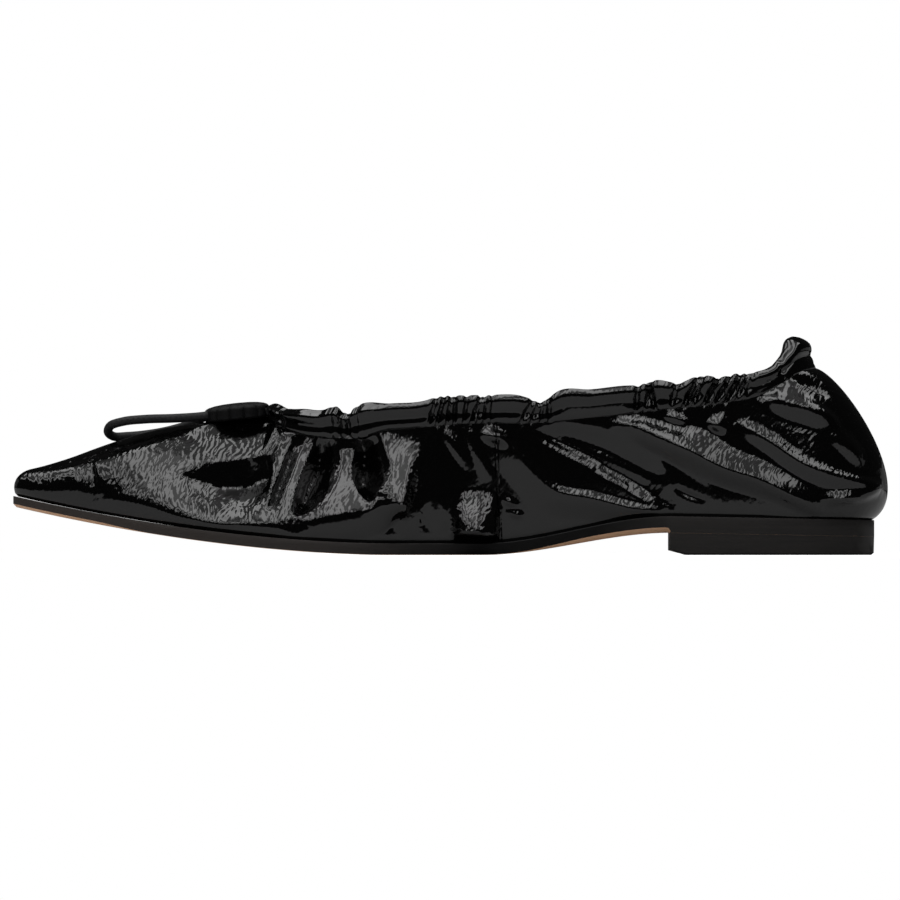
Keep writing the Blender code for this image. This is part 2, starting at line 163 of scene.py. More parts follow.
COLLAR_OUTLINE = (
    OutlineRow(186.2, 0.0, 0.0),
    OutlineRow(185.2, 9.4, 9.2),
    OutlineRow(182.4, 15.6, 15.0),
    OutlineRow(177.0, 20.4, 19.4),
    OutlineRow(168.0, 24.6, 22.8),
    OutlineRow(158.0, 28.0, 25.0),
    OutlineRow(148.0, 30.8, 26.4),
    OutlineRow(138.0, 32.4, 27.0),
    OutlineRow(128.0, 31.8, 26.8),
    OutlineRow(116.0, 29.2, 25.8),
    OutlineRow(102.0, 25.8, 24.6),
    OutlineRow(86.0, 23.4, 23.8),
    OutlineRow(66.0, 23.2, 23.2),
    OutlineRow(46.0, 22.6, 22.0),
    OutlineRow(33.0, 18.4, 18.0),
    OutlineRow(25.6, 11.6, 11.4),
    OutlineRow(21.6, 0.0, 0.0),
)

CASING = (
    CasingRow(187.0, 45.6, 2.9, 0.4),
    CasingRow(183.0, 44.6, 3.8, 0.0),
    CasingRow(176.0, 44.5, 6.2, -0.4),
    CasingRow(164.0, 44.7, 7.2, -0.8),
    CasingRow(146.0, 46.0, 8.0, -0.8),
    CasingRow(128.0, 48.0, 8.4, -0.8),
    CasingRow(108.0, 48.2, 8.4, -0.8),
    CasingRow(88.0, 50.0, 8.4, -0.6),
    CasingRow(66.0, 52.4, 8.4, -0.2),
    CasingRow(48.0, 54.6, 8.4, 0.2),
    CasingRow(38.0, 57.2, 8.6, 0.8),
    CasingRow(33.0, 60.2, 8.8, 1.8),
    CasingRow(28.0, 63.8, 9.0, 3.6),
    CasingRow(21.0, 66.0, 9.2, 5.6),
)

CASING_TOP = (
    HeightRow(187.0, 46.0),
    HeightRow(184.4, 45.6),
    HeightRow(182.4, 44.6),
    HeightRow(176.0, 44.1),
    HeightRow(170.5, 43.8),
    HeightRow(167.0, 45.0),
    HeightRow(163.4, 43.0),
    HeightRow(160.0, 45.2),
    HeightRow(150.0, 45.7),
    HeightRow(140.0, 46.5),
    HeightRow(135.6, 47.9),
    HeightRow(128.0, 48.1),
    HeightRow(120.0, 48.3),
    HeightRow(112.0, 48.2),
    HeightRow(108.0, 47.2),
    HeightRow(104.0, 46.9),
    HeightRow(99.5, 49.6),
    HeightRow(90.0, 50.0),
    HeightRow(80.0, 51.1),
    HeightRow(76.0, 51.3),
    HeightRow(70.0, 52.8),
    HeightRow(63.0, 52.0),
    HeightRow(57.0, 54.3),
    HeightRow(51.0, 53.7),
    HeightRow(45.5, 54.9),
    HeightRow(40.0, 55.3),
    HeightRow(36.0, 56.4),
    HeightRow(31.5, 59.2),
    HeightRow(28.4, 62.4),
    HeightRow(27.0, 64.6),
    HeightRow(25.0, 65.8),
    HeightRow(21.0, 66.2),
)

RIDGE = (
    HeightRow(258.4, 26.2),
    HeightRow(254.0, 27.4),
    HeightRow(247.0, 29.6),
    HeightRow(240.0, 32.2),
    HeightRow(230.0, 35.6),
    HeightRow(220.0, 38.2),
    HeightRow(210.0, 39.8),
    HeightRow(200.0, 40.9),
    HeightRow(192.0, 41.7),
    HeightRow(186.2, 42.1),
)

RIDGE_MATCH = (
    MatchRow(264.0, 258.4),
    MatchRow(258.0, 255.4),
    MatchRow(250.0, 248.8),
    MatchRow(230.0, 229.4),
    MatchRow(210.0, 207.0),
    MatchRow(192.0, 186.2),
)

WALL_SHAPE = (
    WallRow(264.0, 2.4, 0.6, 0.72, 0.05),
    WallRow(252.0, 3.4, 0.5, 0.75, 0.01),
    WallRow(240.0, 4.6, 0.44, 0.75, 0.0),
    WallRow(228.0, 5.8, 0.34, 0.65, 0.0),
    WallRow(214.0, 4.4, 0.26, 0.48, 0.04),
    WallRow(200.0, 3.4, 0.22, 0.42, 0.08),
    WallRow(184.0, 3.4, 0.24, 0.34, 0.12),
    WallRow(170.0, 3.2, 0.26, 0.14, 0.22),
    WallRow(146.0, 2.2, 0.3, 0.3, 0.24),
    WallRow(130.0, 1.6, 0.3, 0.3, 0.28),
    WallRow(112.0, 1.2, 0.32, 0.3, 0.3),
    WallRow(84.0, 1.0, 0.32, 0.3, 0.3),
    WallRow(56.0, 1.6, 0.34, 0.3, 0.34),
    WallRow(30.0, 3.0, 0.28, 0.28, 0.36),
    WallRow(4.8, 15.5, 0.18, 0.506, 0.04),
)

CORD_ROUTE = (
    CordPoint(185.6, 2.9, 43.0),
    CordPoint(188.0, 2.9, 43.2),
    CordPoint(191.0, 2.9, 43.7),
    CordPoint(203.0, 2.9, 42.6),
    CordPoint(207.4, 3.0, 41.6),
    CordPoint(209.4, 4.5, 40.4),
    CordPoint(213.0, 6.8, 39.1),
    CordPoint(219.0, 9.0, 37.5),
    CordPoint(225.0, 9.2, 36.5),
    CordPoint(230.5, 7.0, 36.0),
    CordPoint(234.6, 3.6, 36.0),
    CordPoint(236.1, 0.4, 37.4),
    CordPoint(235.2, -2.4, 39.2),
    CordPoint(231.5, -4.2, 40.4),
    CordPoint(225.0, -4.6, 41.1),
    CordPoint(216.0, -3.8, 41.4),
    CordPoint(207.4, -3.0, 42.0),
    CordPoint(203.0, -2.9, 42.6),
    CordPoint(191.0, -2.9, 43.7),
    CordPoint(188.0, -2.9, 43.2),
    CordPoint(185.6, -2.9, 43.0),
)

FOLDS = (
    # A cross wrinkle near the toe, the dent in the vamp, the ridges round it and the small hollow above it
    FoldRow(((239.2, 19.6), (239.8, 24), (240.4, 27.5)), (-0.5, -1.1, -0.5), (6,), (1.3,), 0.2),
    FoldRow(
        (
            (215.5, 24.4), (207, 23.6), (199, 23.8), (193, 25),
            (189, 27.4), (186.8, 30.6), (185.4, 34), (184.6, 37),
        ),
        (0, -3.6, -5.8, -6.3, -5.7, -4.5, -3, -1),
        (2, 6.4, 7.3, 7, 5.4, 3.6, 2.4, 2),
        (8, 14.5, 17.5, 14, 5, 2.2, 1.6, 1.4),
        0.1,
    ),
    FoldRow(
        ((258, 24.4), (250, 24.9), (243, 25.7), (236, 27.1), (230, 28.8), (220, 32.8), (212, 36.6)),
        (0, 0.8, 1.5, 1.7, 1.7, 1.2, 0), (2, 4, 5.5, 6, 6.5, 5, 2), (10,), 0.2,
    ),
    FoldRow(((212, 37.3), (208, 38.2), (204, 38.8), (199.6, 39)), (0, 1, 1.2, 0), (3,), (5,), 0.2),
    FoldRow(((200.5, 38.6), (196, 39), (190.5, 39.4)), (0, -1.4, -1.1), (2,), (3, 5.5, 5), 0.3),
    FoldRow(
        ((240, 17.6), (230, 16.6), (221, 14.6), (215, 12.2), (206, 10), (196, 9.2), (187, 9), (180, 9)),
        (0, 0.5, 0.8, 1, 1.1, 1.1, 0.9, 0), (8, 8, 8, 7, 5.5, 5, 5, 5), (5,), 0.3,
    ),
    # The shelf above the outer bulge, its dome, and the steep hollows between the ridges that rise from it
    FoldRow(
        (
            (178, 9), (172, 10.5), (165, 11.6), (157, 12.6),
            (152, 13.4), (149, 13.4), (146.8, 13), (144.4, 12.4),
        ),
        (0, 1.6, 2.4, 3, 4.6, 5.8, 5.8, 0),
        (18, 20, 22, 22, 22, 22, 22, 22),
        (5, 6, 7, 7, 6, 3.6, 2.6, 2.6),
        0.2,
    ),
    FoldRow(
        ((152, 10), (149, 13.4), (146.4, 17), (141.5, 19.8), (137, 18), (134.2, 13.5), (131.5, 7.4)),
        (0, 1.7, 2, 1.9, 1.7, 1.3, 0), (10, 15, 20, 21, 18, 10, 4), (8, 12, 15, 16, 14, 9, 5), 0.3,
    ),
    FoldRow(
        ((187.2, 13.5), (186.2, 15.5), (184.8, 20), (182.8, 25), (181, 30), (179.2, 34.5)),
        (0, -1.8, -2.6, -2.6, -2.4, -0.8), (1.3,), (3.2,), 0.2,
    ),
    FoldRow(
        ((179, 11.5), (178, 15), (176.8, 18.5), (175, 24), (173, 30), (170.6, 36)),
        (0, -4, -6.2, -6.2, -4.8, -1.2), (1.6, 2, 2.4, 2.4, 2.2, 1.6), (4, 7, 8.6, 9.6, 8.6, 6), 0.2,
    ),
    FoldRow(
        ((155.5, 14.8), (157.6, 18), (159, 22), (159.5, 27), (159.3, 32), (160, 37)),
        (0, -4.4, -7.2, -7, -4.8, -1.4), (1.4, 1.9, 2.4, 2.4, 2, 1.6), (3.4, 7, 9.4, 9.6, 7.4, 5), 0.2,
    ),
    FoldRow(
        ((185, 35.8), (180, 36.6), (172, 36.8), (163, 36.6), (157, 36.8), (153.6, 37)),
        (0, 0.9, 0.6, 1.7, 1.2, 0), (2,), (4, 4.5, 3.5, 5, 4, 3), 0.3,
    ),
    # Slight ridges, the pouch in front of the side seam and small bumps beside it
    FoldRow(((135, 39), (130.5, 32), (126, 25)), (0.4, 0.7, 0), (3,), (3,), 1.0),
    FoldRow(((127, 38), (124, 30), (121, 22)), (0.4, 0.7, 0), (3,), (3,), 1.0),
    FoldRow(
        ((132.4, 7.8), (129.4, 7.5), (127.6, 7.4), (122, 6.8), (120, 6.6), (117.4, 6.3)),
        (0, 5.2, 6.4, 6.4, 5.2, 0), (9, 12, 12.4, 12.4, 12, 9), (3,), 0.2,
    ),
    FoldRow(((123.4, 37.6), (118.8, 35.2), (114.6, 33.6)), (0, 2.2, 0), (4, 4.6, 3.6), (2.6,), 0.7),
    FoldRow(((117, 17.4), (114, 15.6), (112, 14.4)), (0, 0.9, 0), (1.7,), (1.7,), 1.0),
    FoldRow(((115, 13.4), (112.6, 12.2), (110.4, 11.4)), (0, 0.8, 0), (1.6,), (1.6,), 1.0),
    # The long folds behind the seam, which run down and back
    FoldRow(
        ((117, 35.4), (113, 31.4), (108, 26), (100, 19.4), (90, 17.4), (80, 14.8), (71, 12.8)),
        (0.6, 1.2, 1.2, 1.5, 1.6, 1.6, 0.8), (2.4, 2.4, 2.4, 2, 2.1, 2.1, 2.1), (8, 8, 8, 8, 7, 6, 4), 0.25,
    ),
    FoldRow(
        (
            (107, 38.8), (102.6, 36.2), (94.3, 32), (89.3, 29.6),
            (84.3, 26.2), (79.3, 23.6), (75, 21), (69.4, 16.8),
        ),
        (0, -1.7, -2.2, -2.3, -2.3, -2.3, -2.3, -0.8),
        (5, 7, 9, 12, 12, 12, 10, 6),
        (3, 3, 3.3, 3.4, 3.4, 3.4, 3.6, 3),
        0.2,
    ),
    FoldRow(
        ((101, 38.4), (93, 35.4), (86, 32.4), (79, 29), (72, 25.4), (66, 22.6)),
        (0, -0.6, -0.65, -0.65, -0.5, 0), (5,), (2.8,), 0.6,
    ),
    FoldRow(
        ((100, 40.2), (90, 38.8), (80, 37.2), (70, 33.4), (60, 27.6), (52, 21.6)),
        (0, 0.3, 0.5, 1, 0.8, 0), (8,), (4,), 1.0,
    ),
    FoldRow(
        (
            (84, 41.8), (78, 39.4), (70, 35.7), (60, 30.7), (50, 25.7),
            (40, 22.7), (30, 18.2), (24, 15.6), (19, 13.6),
        ),
        (0, 1.6, 2.6, 4.2, 4.2, 3.6, 3, 1.8, 0),
        (2.6, 3.4, 5, 8.6, 7.6, 6.4, 5.4, 4.6, 4),
        (4, 4, 5, 5, 5, 5, 4, 4, 4),
        0.4,
    ),
    FoldRow(((69, 44), (65.5, 42), (60, 39.4)), (0, 1.2, 0), (2.4,), (2.4,), 0.8),
    FoldRow(((54.5, 41), (51.5, 38.8), (48.5, 38)), (0, 1.7, 0), (4, 5, 3), (2.6,), 0.6),
    FoldRow(
        (
            (47, 40.4), (40, 36.6), (35, 33.6), (30, 30), (25, 27),
            (20, 25), (13, 22.8), (6, 21.2), (2.5, 20.6),
        ),
        (0, 1.4, 1.9, 2, 2, 2, 2, 2, 0.8), (2.7,), (4,), 0.25,
    ),
    FoldRow(((21, 16.8), (15, 17.4), (8, 18.2), (4, 19.6)), (0, 2.2, 2, 0.8), (2.6,), (3,), 0.3),
    FoldRow(
        ((39, 48.6), (35, 47), (30, 45), (25, 43.4), (20, 41.4), (14, 38.6)),
        (0, 1.8, 2.8, 3.2, 2.8, 0), (3, 5, 6.4, 6.4, 5, 3), (4, 4.6, 5, 5, 5, 4), 0.3,
    ),
    FoldRow(((22, 38.6), (16, 35), (11, 30.6), (7.5, 26.4)), (0, 1.5, 1.7, 0), (6,), (3.6,), 0.3),
    FoldRow(((35, 54.4), (29, 54), (23, 51.6), (17, 47.4)), (0, -1.7, -1.9, 0), (3.2,), (2.6,), 0.3),
    FoldRow(((65, 20.8), (60, 18), (55, 16.2)), (0, -0.6, 0), (1.6,), (1.6,), 1.0),
)

PINCHES = (
    PinchRow(184.6, 0.9, 0.8, 0.1, 3.0),
    PinchRow(181.6, 0.7, 0.9, -0.1, 3.0),
    PinchRow(167.6, 0.8, 0.9, 0.0, 2.0),
    PinchRow(165.2, 1.3, 0.7, 0.05, 3.0),
    PinchRow(162.4, 1.6, 0.8, -0.05, 3.0),
    PinchRow(160.0, 0.8, 0.8, 0.0, 2.0),
    PinchRow(139.0, 1.2, 0.8, 0.3, 2.5),
    PinchRow(136.4, 1.4, 0.8, 0.25, 2.5),
    PinchRow(133.4, 1.3, 0.7, 0.15, 2.5),
    PinchRow(131.0, 1.5, 0.7, 0.0, 2.5),
    PinchRow(128.2, 1.2, 0.7, 0.1, 2.5),
    PinchRow(126.2, 1.3, 0.6, 0.35, 3.5),
    PinchRow(124.2, 1.1, 0.6, 0.2, 2.5),
    PinchRow(122.2, 1.2, 0.6, 0.05, 2.5),
    PinchRow(119.8, 0.9, 0.7, 0.0, 2.0),
    PinchRow(111.0, 1.3, 1.0, 0.5, 3.0),
    PinchRow(107.8, 1.4, 1.0, 0.3, 3.0),
    PinchRow(104.8, 1.4, 0.8, 0.0, 3.0),
    PinchRow(102.2, 1.4, 0.9, -0.1, 3.0),
    PinchRow(76.4, 1.3, 0.9, 0.1, 3.0),
    PinchRow(73.6, 1.1, 0.8, 0.2, 3.0),
    PinchRow(70.4, 1.6, 0.9, -0.25, 3.0),
    PinchRow(66.0, 1.3, 1.1, 0.3, 3.5),
    PinchRow(62.0, 1.6, 1.0, 0.5, 3.5),
    PinchRow(59.2, 1.3, 0.8, 0.35, 3.0),
    PinchRow(56.0, 1.6, 0.9, 0.55, 3.5),
    PinchRow(53.0, 1.4, 0.8, 0.65, 3.0),
    PinchRow(49.4, 1.7, 0.9, 0.6, 3.0),
    PinchRow(46.0, 1.3, 0.8, 0.45, 3.0),
    PinchRow(43.2, 0.9, 0.9, 0.3, 3.0),
    PinchRow(31.6, 0.7, 1.2, 0.0, 3.0),
)


def smooth_slopes(where: np.ndarray, values: np.ndarray) -> np.ndarray:
    """Slopes at the points of a table, each from the parabola through it and its neighbours.

    Args:
        where: places of the points, rising.
        values: values at the points, one row each.
    Returns:
        One slope for each point; the two ends take the slope of their straight piece.
    """
    steps = np.diff(where)
    rises = (np.diff(values, axis=0).T / steps).T
    before, after = steps[:-1], steps[1:]
    inner = ((rises[:-1].T * after + rises[1:].T * before) / (before + after)).T
    return np.concatenate([rises[:1], inner, rises[-1:]])


def hermite(where: np.ndarray, values: np.ndarray, at: np.ndarray) -> np.ndarray:
    """Values of the smooth cubic curve through a table at any places between its ends.

    Args:
        where: places of the table's points, rising.
        values: values at the points.
        at: places to read.
    Returns:
        The cubic that keeps the value and the slope of each point, read at the places.
    """
    slopes = smooth_slopes(where, values)
    at = np.clip(at, where[0], where[-1])
    left = np.clip(np.searchsorted(where, at, side="right") - 1, 0, len(where) - 2)
    step = where[left + 1] - where[left]
    share = (at - where[left]) / step
    start = (values[left].T * (2 * share**3 - 3 * share**2 + 1)).T
    finish = (values[left + 1].T * (3 * share**2 - 2 * share**3)).T
    leaving = (slopes[left].T * (step * (share**3 - 2 * share**2 + share))).T
    arriving = (slopes[left + 1].T * (step * (share**3 - share**2))).T
    return start + finish + leaving + arriving


def column(table: tuple, name: str, at: np.ndarray) -> np.ndarray:
    """One named column of a table, read at stations.

    Args:
        table: rows whose first field is their station.
        name: the column's name.
        at: stations to read.
    Returns:
        The smooth curve through the column at the stations.
    """
    rows = sorted(table, key=lambda row: row[0])
    where = np.array([row[0] for row in rows], float)
    values = np.array([getattr(row, name) for row in rows], float)
    return hermite(where, values, np.asarray(at, float))


def distance_along(points: np.ndarray) -> np.ndarray:
    """Distance along a line of points from its first one, as a running sum of the steps."""
    lengths = np.linalg.norm(np.diff(points, axis=0), axis=1)
    return np.concatenate([[0.0], np.cumsum(lengths)])


def evenly(points: np.ndarray, count: int) -> np.ndarray:
    """The same line again with its points evenly spaced, read off straight between the old ones.

    Args:
        points: the line's points.
        count: how many points the new line has.
    Returns:
        The new points.
    """
    along = distance_along(points)
    at = np.linspace(0.0, along[-1], count)
    return np.stack([np.interp(at, along, points[:, k]) for k in range(points.shape[1])], axis=1)


def line_through(points: np.ndarray, count: int) -> np.ndarray:
    """A smooth line through points: a cubic of the distance along them, read evenly.

    Args:
        points: the points that it passes through.
        count: how many points the line has.
    Returns:
        The line's points, evenly spaced.
    """
    along = distance_along(points)
    fine = hermite(along, points, np.linspace(0.0, along[-1], 40 * len(points)))
    return evenly(fine, count)


def ease(share: np.ndarray) -> np.ndarray:
    """A soft step from 0 to 1: three times the square less twice the cube of the share."""
    share = np.clip(share, 0.0, 1.0)
    return share * share * (3.0 - 2.0 * share)


def unit(vectors: np.ndarray) -> np.ndarray:
    """The same vectors with length 1."""
    return vectors / np.maximum(np.linalg.norm(vectors, axis=-1, keepdims=True), 1e-9)


def half_outline(table: tuple, side: Side, count: int) -> np.ndarray:
    """One side of an outline from its front end to its back end.

    The row next to each end is repeated across the axis, so the line crosses the axis square to it.

    Args:
        table: the outline's rows from front to back.
        side: which side to take.
        count: how many points, evenly spaced.
    Returns:
        Station and side distance of each point.
    """
    sign, name, other = side.value, side.name.lower(), side.other.name.lower()
    rows = [(row.station, sign * getattr(row, name)) for row in table]
    first = (table[1].station, -sign * getattr(table[1], other))
    last = (table[-2].station, -sign * getattr(table[-2], other))
    points = np.array([first, *rows, last], float)
    along = distance_along(points)
    fine = hermite(along, points, np.linspace(along[1], along[-2], 60 * len(points)))
    return evenly(fine, count)


def outward(line: np.ndarray, side: Side) -> np.ndarray:
    """Directions square to an outline: its run turned by a right angle, along the axis at both ends.

    Args:
        line: station and side distance of the outline's points, front to back.
        side: the side that the outline lies on.
    Returns:
        One unit direction away from the inside for each point.
    """
    run = np.gradient(line, axis=0)
    run[0] = [0.0, side.value]
    run[-1] = [0.0, -side.value]
    run = unit(run)
    return np.stack([run[:, 1], -run[:, 0]], axis=1) * side.value


@dataclass(frozen=True)
class Last:
    """The shape that all pieces share: the shoe's length, its heel and spring, in millimetres."""

    length: float = 264.8
    axis_shift: float = 2.0
    heel_breast: float = 66.0
    heel_height: float = 6.7
    heel_drop: float = 1.2
    breast_lift: float = 1.4
    breast_slope: float = 5.0
    waist_front: float = 123.0
    spring_start: float = 150.0
    toe_spring: float = 14.7
    spring_power: float = 1.8
    sole_thick: float = 3.5
    sole_thick_toe: float = 3.2
    sole_thick_waist: float = 5.0
    gap: float = 0.3
    tuck: float = 0.15

    def sole_bottom(self, station: np.ndarray) -> np.ndarray:
        """Height of the sole's underside: level at the ball, a soft step to the heel, a power to the toe.

        Args:
            station: stations to read.
        Returns:
            One height for each station.
        """
        station = np.asarray(station, float)
        waist_length = self.waist_front - self.heel_breast
        waist = self.heel_height * ease((self.waist_front - station) / waist_length)
        seat = self.heel_drop * np.clip((self.heel_breast - station) / self.heel_breast, 0.0, 1.0)
        forward = np.clip(station - self.spring_start, 0.0, None) / (self.length - self.spring_start)
        return waist - seat + self.toe_spring * forward**self.spring_power

    def sole_top(self, station: np.ndarray) -> np.ndarray:
        """Height of the sole's upper face; the sole thins towards the toe and thickens behind the ball.

        Args:
            station: stations to read.
        Returns:
            One height for each station.
        """
        station = np.asarray(station, float)
        ahead = ease((station - self.spring_start) / (self.length - self.spring_start))
        behind = ease((self.waist_front - station) / (self.waist_front - self.heel_breast))
        thinner = (self.sole_thick - self.sole_thick_toe) * ahead
        thicker = (self.sole_thick_waist - self.sole_thick) * behind
        return self.sole_bottom(station) + self.sole_thick - thinner + thicker

    def heel_bottom(self, station: np.ndarray) -> np.ndarray:
        """Height of the heel's underside: level, with a short slope up to the breast edge."""
        behind = self.heel_breast - np.asarray(station, float)
        return self.breast_lift * np.clip(1.0 - behind / self.breast_slope, 0.0, 1.0)

    def inset_side(self, side: Side, inset: float, count: int) -> np.ndarray:
        """One side of the sole's outline moved inward by a distance."""
        line = half_outline(SOLE_OUTLINE, side, count)
        return line - inset * outward(line, side)

    def to_place(self, station: Any, side: Any, height: Any) -> np.ndarray:
        """Points in metres from stations, side distances and heights in millimetres."""
        station, side, height = np.broadcast_arrays(station, side, height)
        return np.stack([self.length / 2 - station, side + self.axis_shift, height], axis=-1) * MM

    def place(self, points: np.ndarray) -> np.ndarray:
        """Points in metres from an array whose last axis is station, side distance and height."""
        return self.to_place(points[..., 0], points[..., 1], points[..., 2])


LAST = Last()


class Graph:
    """A node tree that is filled by short calls."""

    def __init__(self, tree: bpy.types.NodeTree) -> None:
        """Keeps the tree to fill."""
        self.tree = tree

    def node(
        self, kind: str, settings: Optional[dict] = None, values: Optional[dict] = None
    ) -> bpy.types.Node:
        """Adds one node.

        Args:
            kind: the node's type name.
            settings: attributes of the node.
            values: for each input by name or number, a value or an output socket to link.
        Returns:
            The new node.
        """
        made = self.tree.nodes.new(kind)
        for name, value in (settings or {}).items():
            setattr(made, name, value)
        for name, value in (values or {}).items():
            if isinstance(value, bpy.types.NodeSocket):
                self.tree.links.new(value, made.inputs[name])
            else:
                made.inputs[name].default_value = value
        return made

    def math(self, operation: str, first: Any, second: Any = 0.0) -> bpy.types.NodeSocket:
        """The result of one arithmetic step on two values or sockets."""
        return self.node("ShaderNodeMath", {"operation": operation}, {0: first, 1: second}).outputs[0]

    def spread(
        self, value: bpy.types.NodeSocket, low: float, high: float, to_low: float, to_high: float
    ) -> bpy.types.NodeSocket:
        """A value carried in proportion from one range to another and kept inside it."""
        limits = {"Value": value, "From Min": low, "From Max": high, "To Min": to_low, "To Max": to_high}
        return self.node("ShaderNodeMapRange", {"clamp": True}, limits).outputs["Result"]

    def tint(self, share: bpy.types.NodeSocket, first: Any, second: tuple) -> bpy.types.NodeSocket:
        """A colour between two colours by a share; the first may be a socket.

        Args:
            share: how much of the second colour shows.
            first: a colour or a colour socket.
            second: a colour.
        Returns:
            The mixed colour's socket.
        """
        start = first if isinstance(first, bpy.types.NodeSocket) else (*first, 1.0)
        values = {0: share, 6: start, 7: (*second, 1.0)}
        return self.node("ShaderNodeMix", {"data_type": "RGBA"}, values).outputs[2]


def new_group(name: str, inputs: tuple, outputs: tuple) -> tuple[Graph, bpy.types.Node, bpy.types.Node]:
    """An empty shader node group with named float or vector sockets.

    Args:
        name: the group's name.
        inputs: pairs of socket name and socket type.
        outputs: pairs of socket name and socket type.
    Returns:
        The group's graph, its input node and its output node.
    """
    tree = bpy.data.node_groups.new(name, "ShaderNodeTree")
    for socket, kind in inputs:
        tree.interface.new_socket(socket, in_out="INPUT", socket_type=kind)
    for socket, kind in outputs:
        tree.interface.new_socket(socket, in_out="OUTPUT", socket_type=kind)
    graph = Graph(tree)
    return graph, graph.node("NodeGroupInput"), graph.node("NodeGroupOutput")


def crinkle_group() -> bpy.types.NodeTree:
    """The crinkle of patent leather: short slanted creases with a little fine grain on them.

    A slow noise moves each place, a mapping turns the places and draws them out, and one noise of them
    is the creases' height, to which a small part of a fine noise is added.

    Returns:
        A group with Vector in and Height and Grain out, both about from 0 to 1.
    """
    sockets = (("Vector", "NodeSocketVector"),)
    results = (("Height", "NodeSocketFloat"), ("Grain", "NodeSocketFloat"))
    graph, given, out = new_group("patent_crinkle", sockets, results)
    place = given.outputs[0]
    wander = graph.node("ShaderNodeTexNoise", values={"Vector": place, "Scale": 90.0, "Detail": 1.0})
    shift = graph.node(
        "ShaderNodeVectorMath", {"operation": "SCALE"}, {0: wander.outputs["Color"], "Scale": 0.006}
    )
    moved = graph.node("ShaderNodeVectorMath", {"operation": "ADD"}, {0: place, 1: shift.outputs[0]})
    long = graph.node(
        "ShaderNodeMapping",
        {"vector_type": "TEXTURE"},
        {"Vector": moved.outputs[0], "Rotation": (0.0, 0.5, 0.0), "Scale": (1.0, 3.0, 2.0)},
    )
    crease = graph.node(
        "ShaderNodeTexNoise",
        values={"Vector": long.outputs[0], "Scale": 980.0, "Detail": 0.6, "Roughness": 0.4},
    )
    fine = graph.node(
        "ShaderNodeTexNoise",
        values={"Vector": place, "Scale": 1500.0, "Detail": 1.0, "Roughness": 0.5},
    )
    summed = graph.math("ADD", crease.outputs["Fac"], graph.math("MULTIPLY", fine.outputs["Fac"], 0.03))
    graph.tree.links.new(summed, out.inputs["Height"])
    graph.tree.links.new(fine.outputs["Fac"], out.inputs["Grain"])
    return graph.tree


def streak_group() -> bpy.types.NodeTree:
    """Fine level streaks of a painted leather edge: a noise drawn out along the floor, and patches of wear.

    Returns:
        A group with Vector in and Streak and Wear out, both from 0 to 1.
    """
    sockets = (("Vector", "NodeSocketVector"),)
    results = (("Streak", "NodeSocketFloat"), ("Wear", "NodeSocketFloat"))
    graph, given, out = new_group("edge_streaks", sockets, results)
    place = given.outputs[0]
    flat = graph.node("ShaderNodeMapping", values={"Vector": place, "Scale": (0.05, 0.05, 1.0)}).outputs[0]
    lines = graph.node("ShaderNodeTexNoise", values={"Vector": flat, "Scale": 1300.0, "Detail": 3.0})
    worn = graph.node("ShaderNodeTexNoise", values={"Vector": place, "Scale": 160.0, "Detail": 4.0})
    graph.tree.links.new(lines.outputs["Fac"], out.inputs["Streak"])
    graph.tree.links.new(graph.spread(worn.outputs["Fac"], 0.5, 0.72, 0.0, 1.0), out.inputs["Wear"])
    return graph.tree


def leather_group() -> bpy.types.NodeTree:
    """The grain of plain leather: distances to the middles of small cells, with slow changes of shade.

    Returns:
        A group with Vector in and Height and Shade out, both from 0 to 1.
    """
    sockets = (("Vector", "NodeSocketVector"),)
    results = (("Height", "NodeSocketFloat"), ("Shade", "NodeSocketFloat"))
    graph, given, out = new_group("plain_grain", sockets, results)
    place = given.outputs[0]
    cells = graph.node(
        "ShaderNodeTexVoronoi",
        {"feature": "SMOOTH_F1"},
        {"Vector": place, "Scale": 1100.0, "Smoothness": 0.4},
    )
    shade = graph.node("ShaderNodeTexNoise", values={"Vector": place, "Scale": 60.0, "Detail": 5.0})
    graph.tree.links.new(cells.outputs["Distance"], out.inputs["Height"])
    graph.tree.links.new(shade.outputs["Fac"], out.inputs["Shade"])
    return graph.tree


@dataclass(frozen=True)
class Finish:
    """What every finish has: its name, its colour and how rough it is."""

    name: str
    color: tuple
    roughness: float

    def start(self) -> tuple[bpy.types.Material, Graph, bpy.types.Node, bpy.types.NodeSocket]:
        """A new material with its shader set to the finish's colour and roughness.

        Returns:
            The material, its graph, its shader node and the socket with Object coordinates.
        """
        material = bpy.data.materials.new(self.name)
        material.use_nodes = True
        material.diffuse_color = (*self.color, 1.0)
        graph = Graph(material.node_tree)
        shader = material.node_tree.nodes["Principled BSDF"]
        shader.inputs["Base Color"].default_value = (*self.color, 1.0)
        shader.inputs["Roughness"].default_value = self.roughness
        place = graph.node("ShaderNodeTexCoord").outputs["Object"]
        return material, graph, shader, place


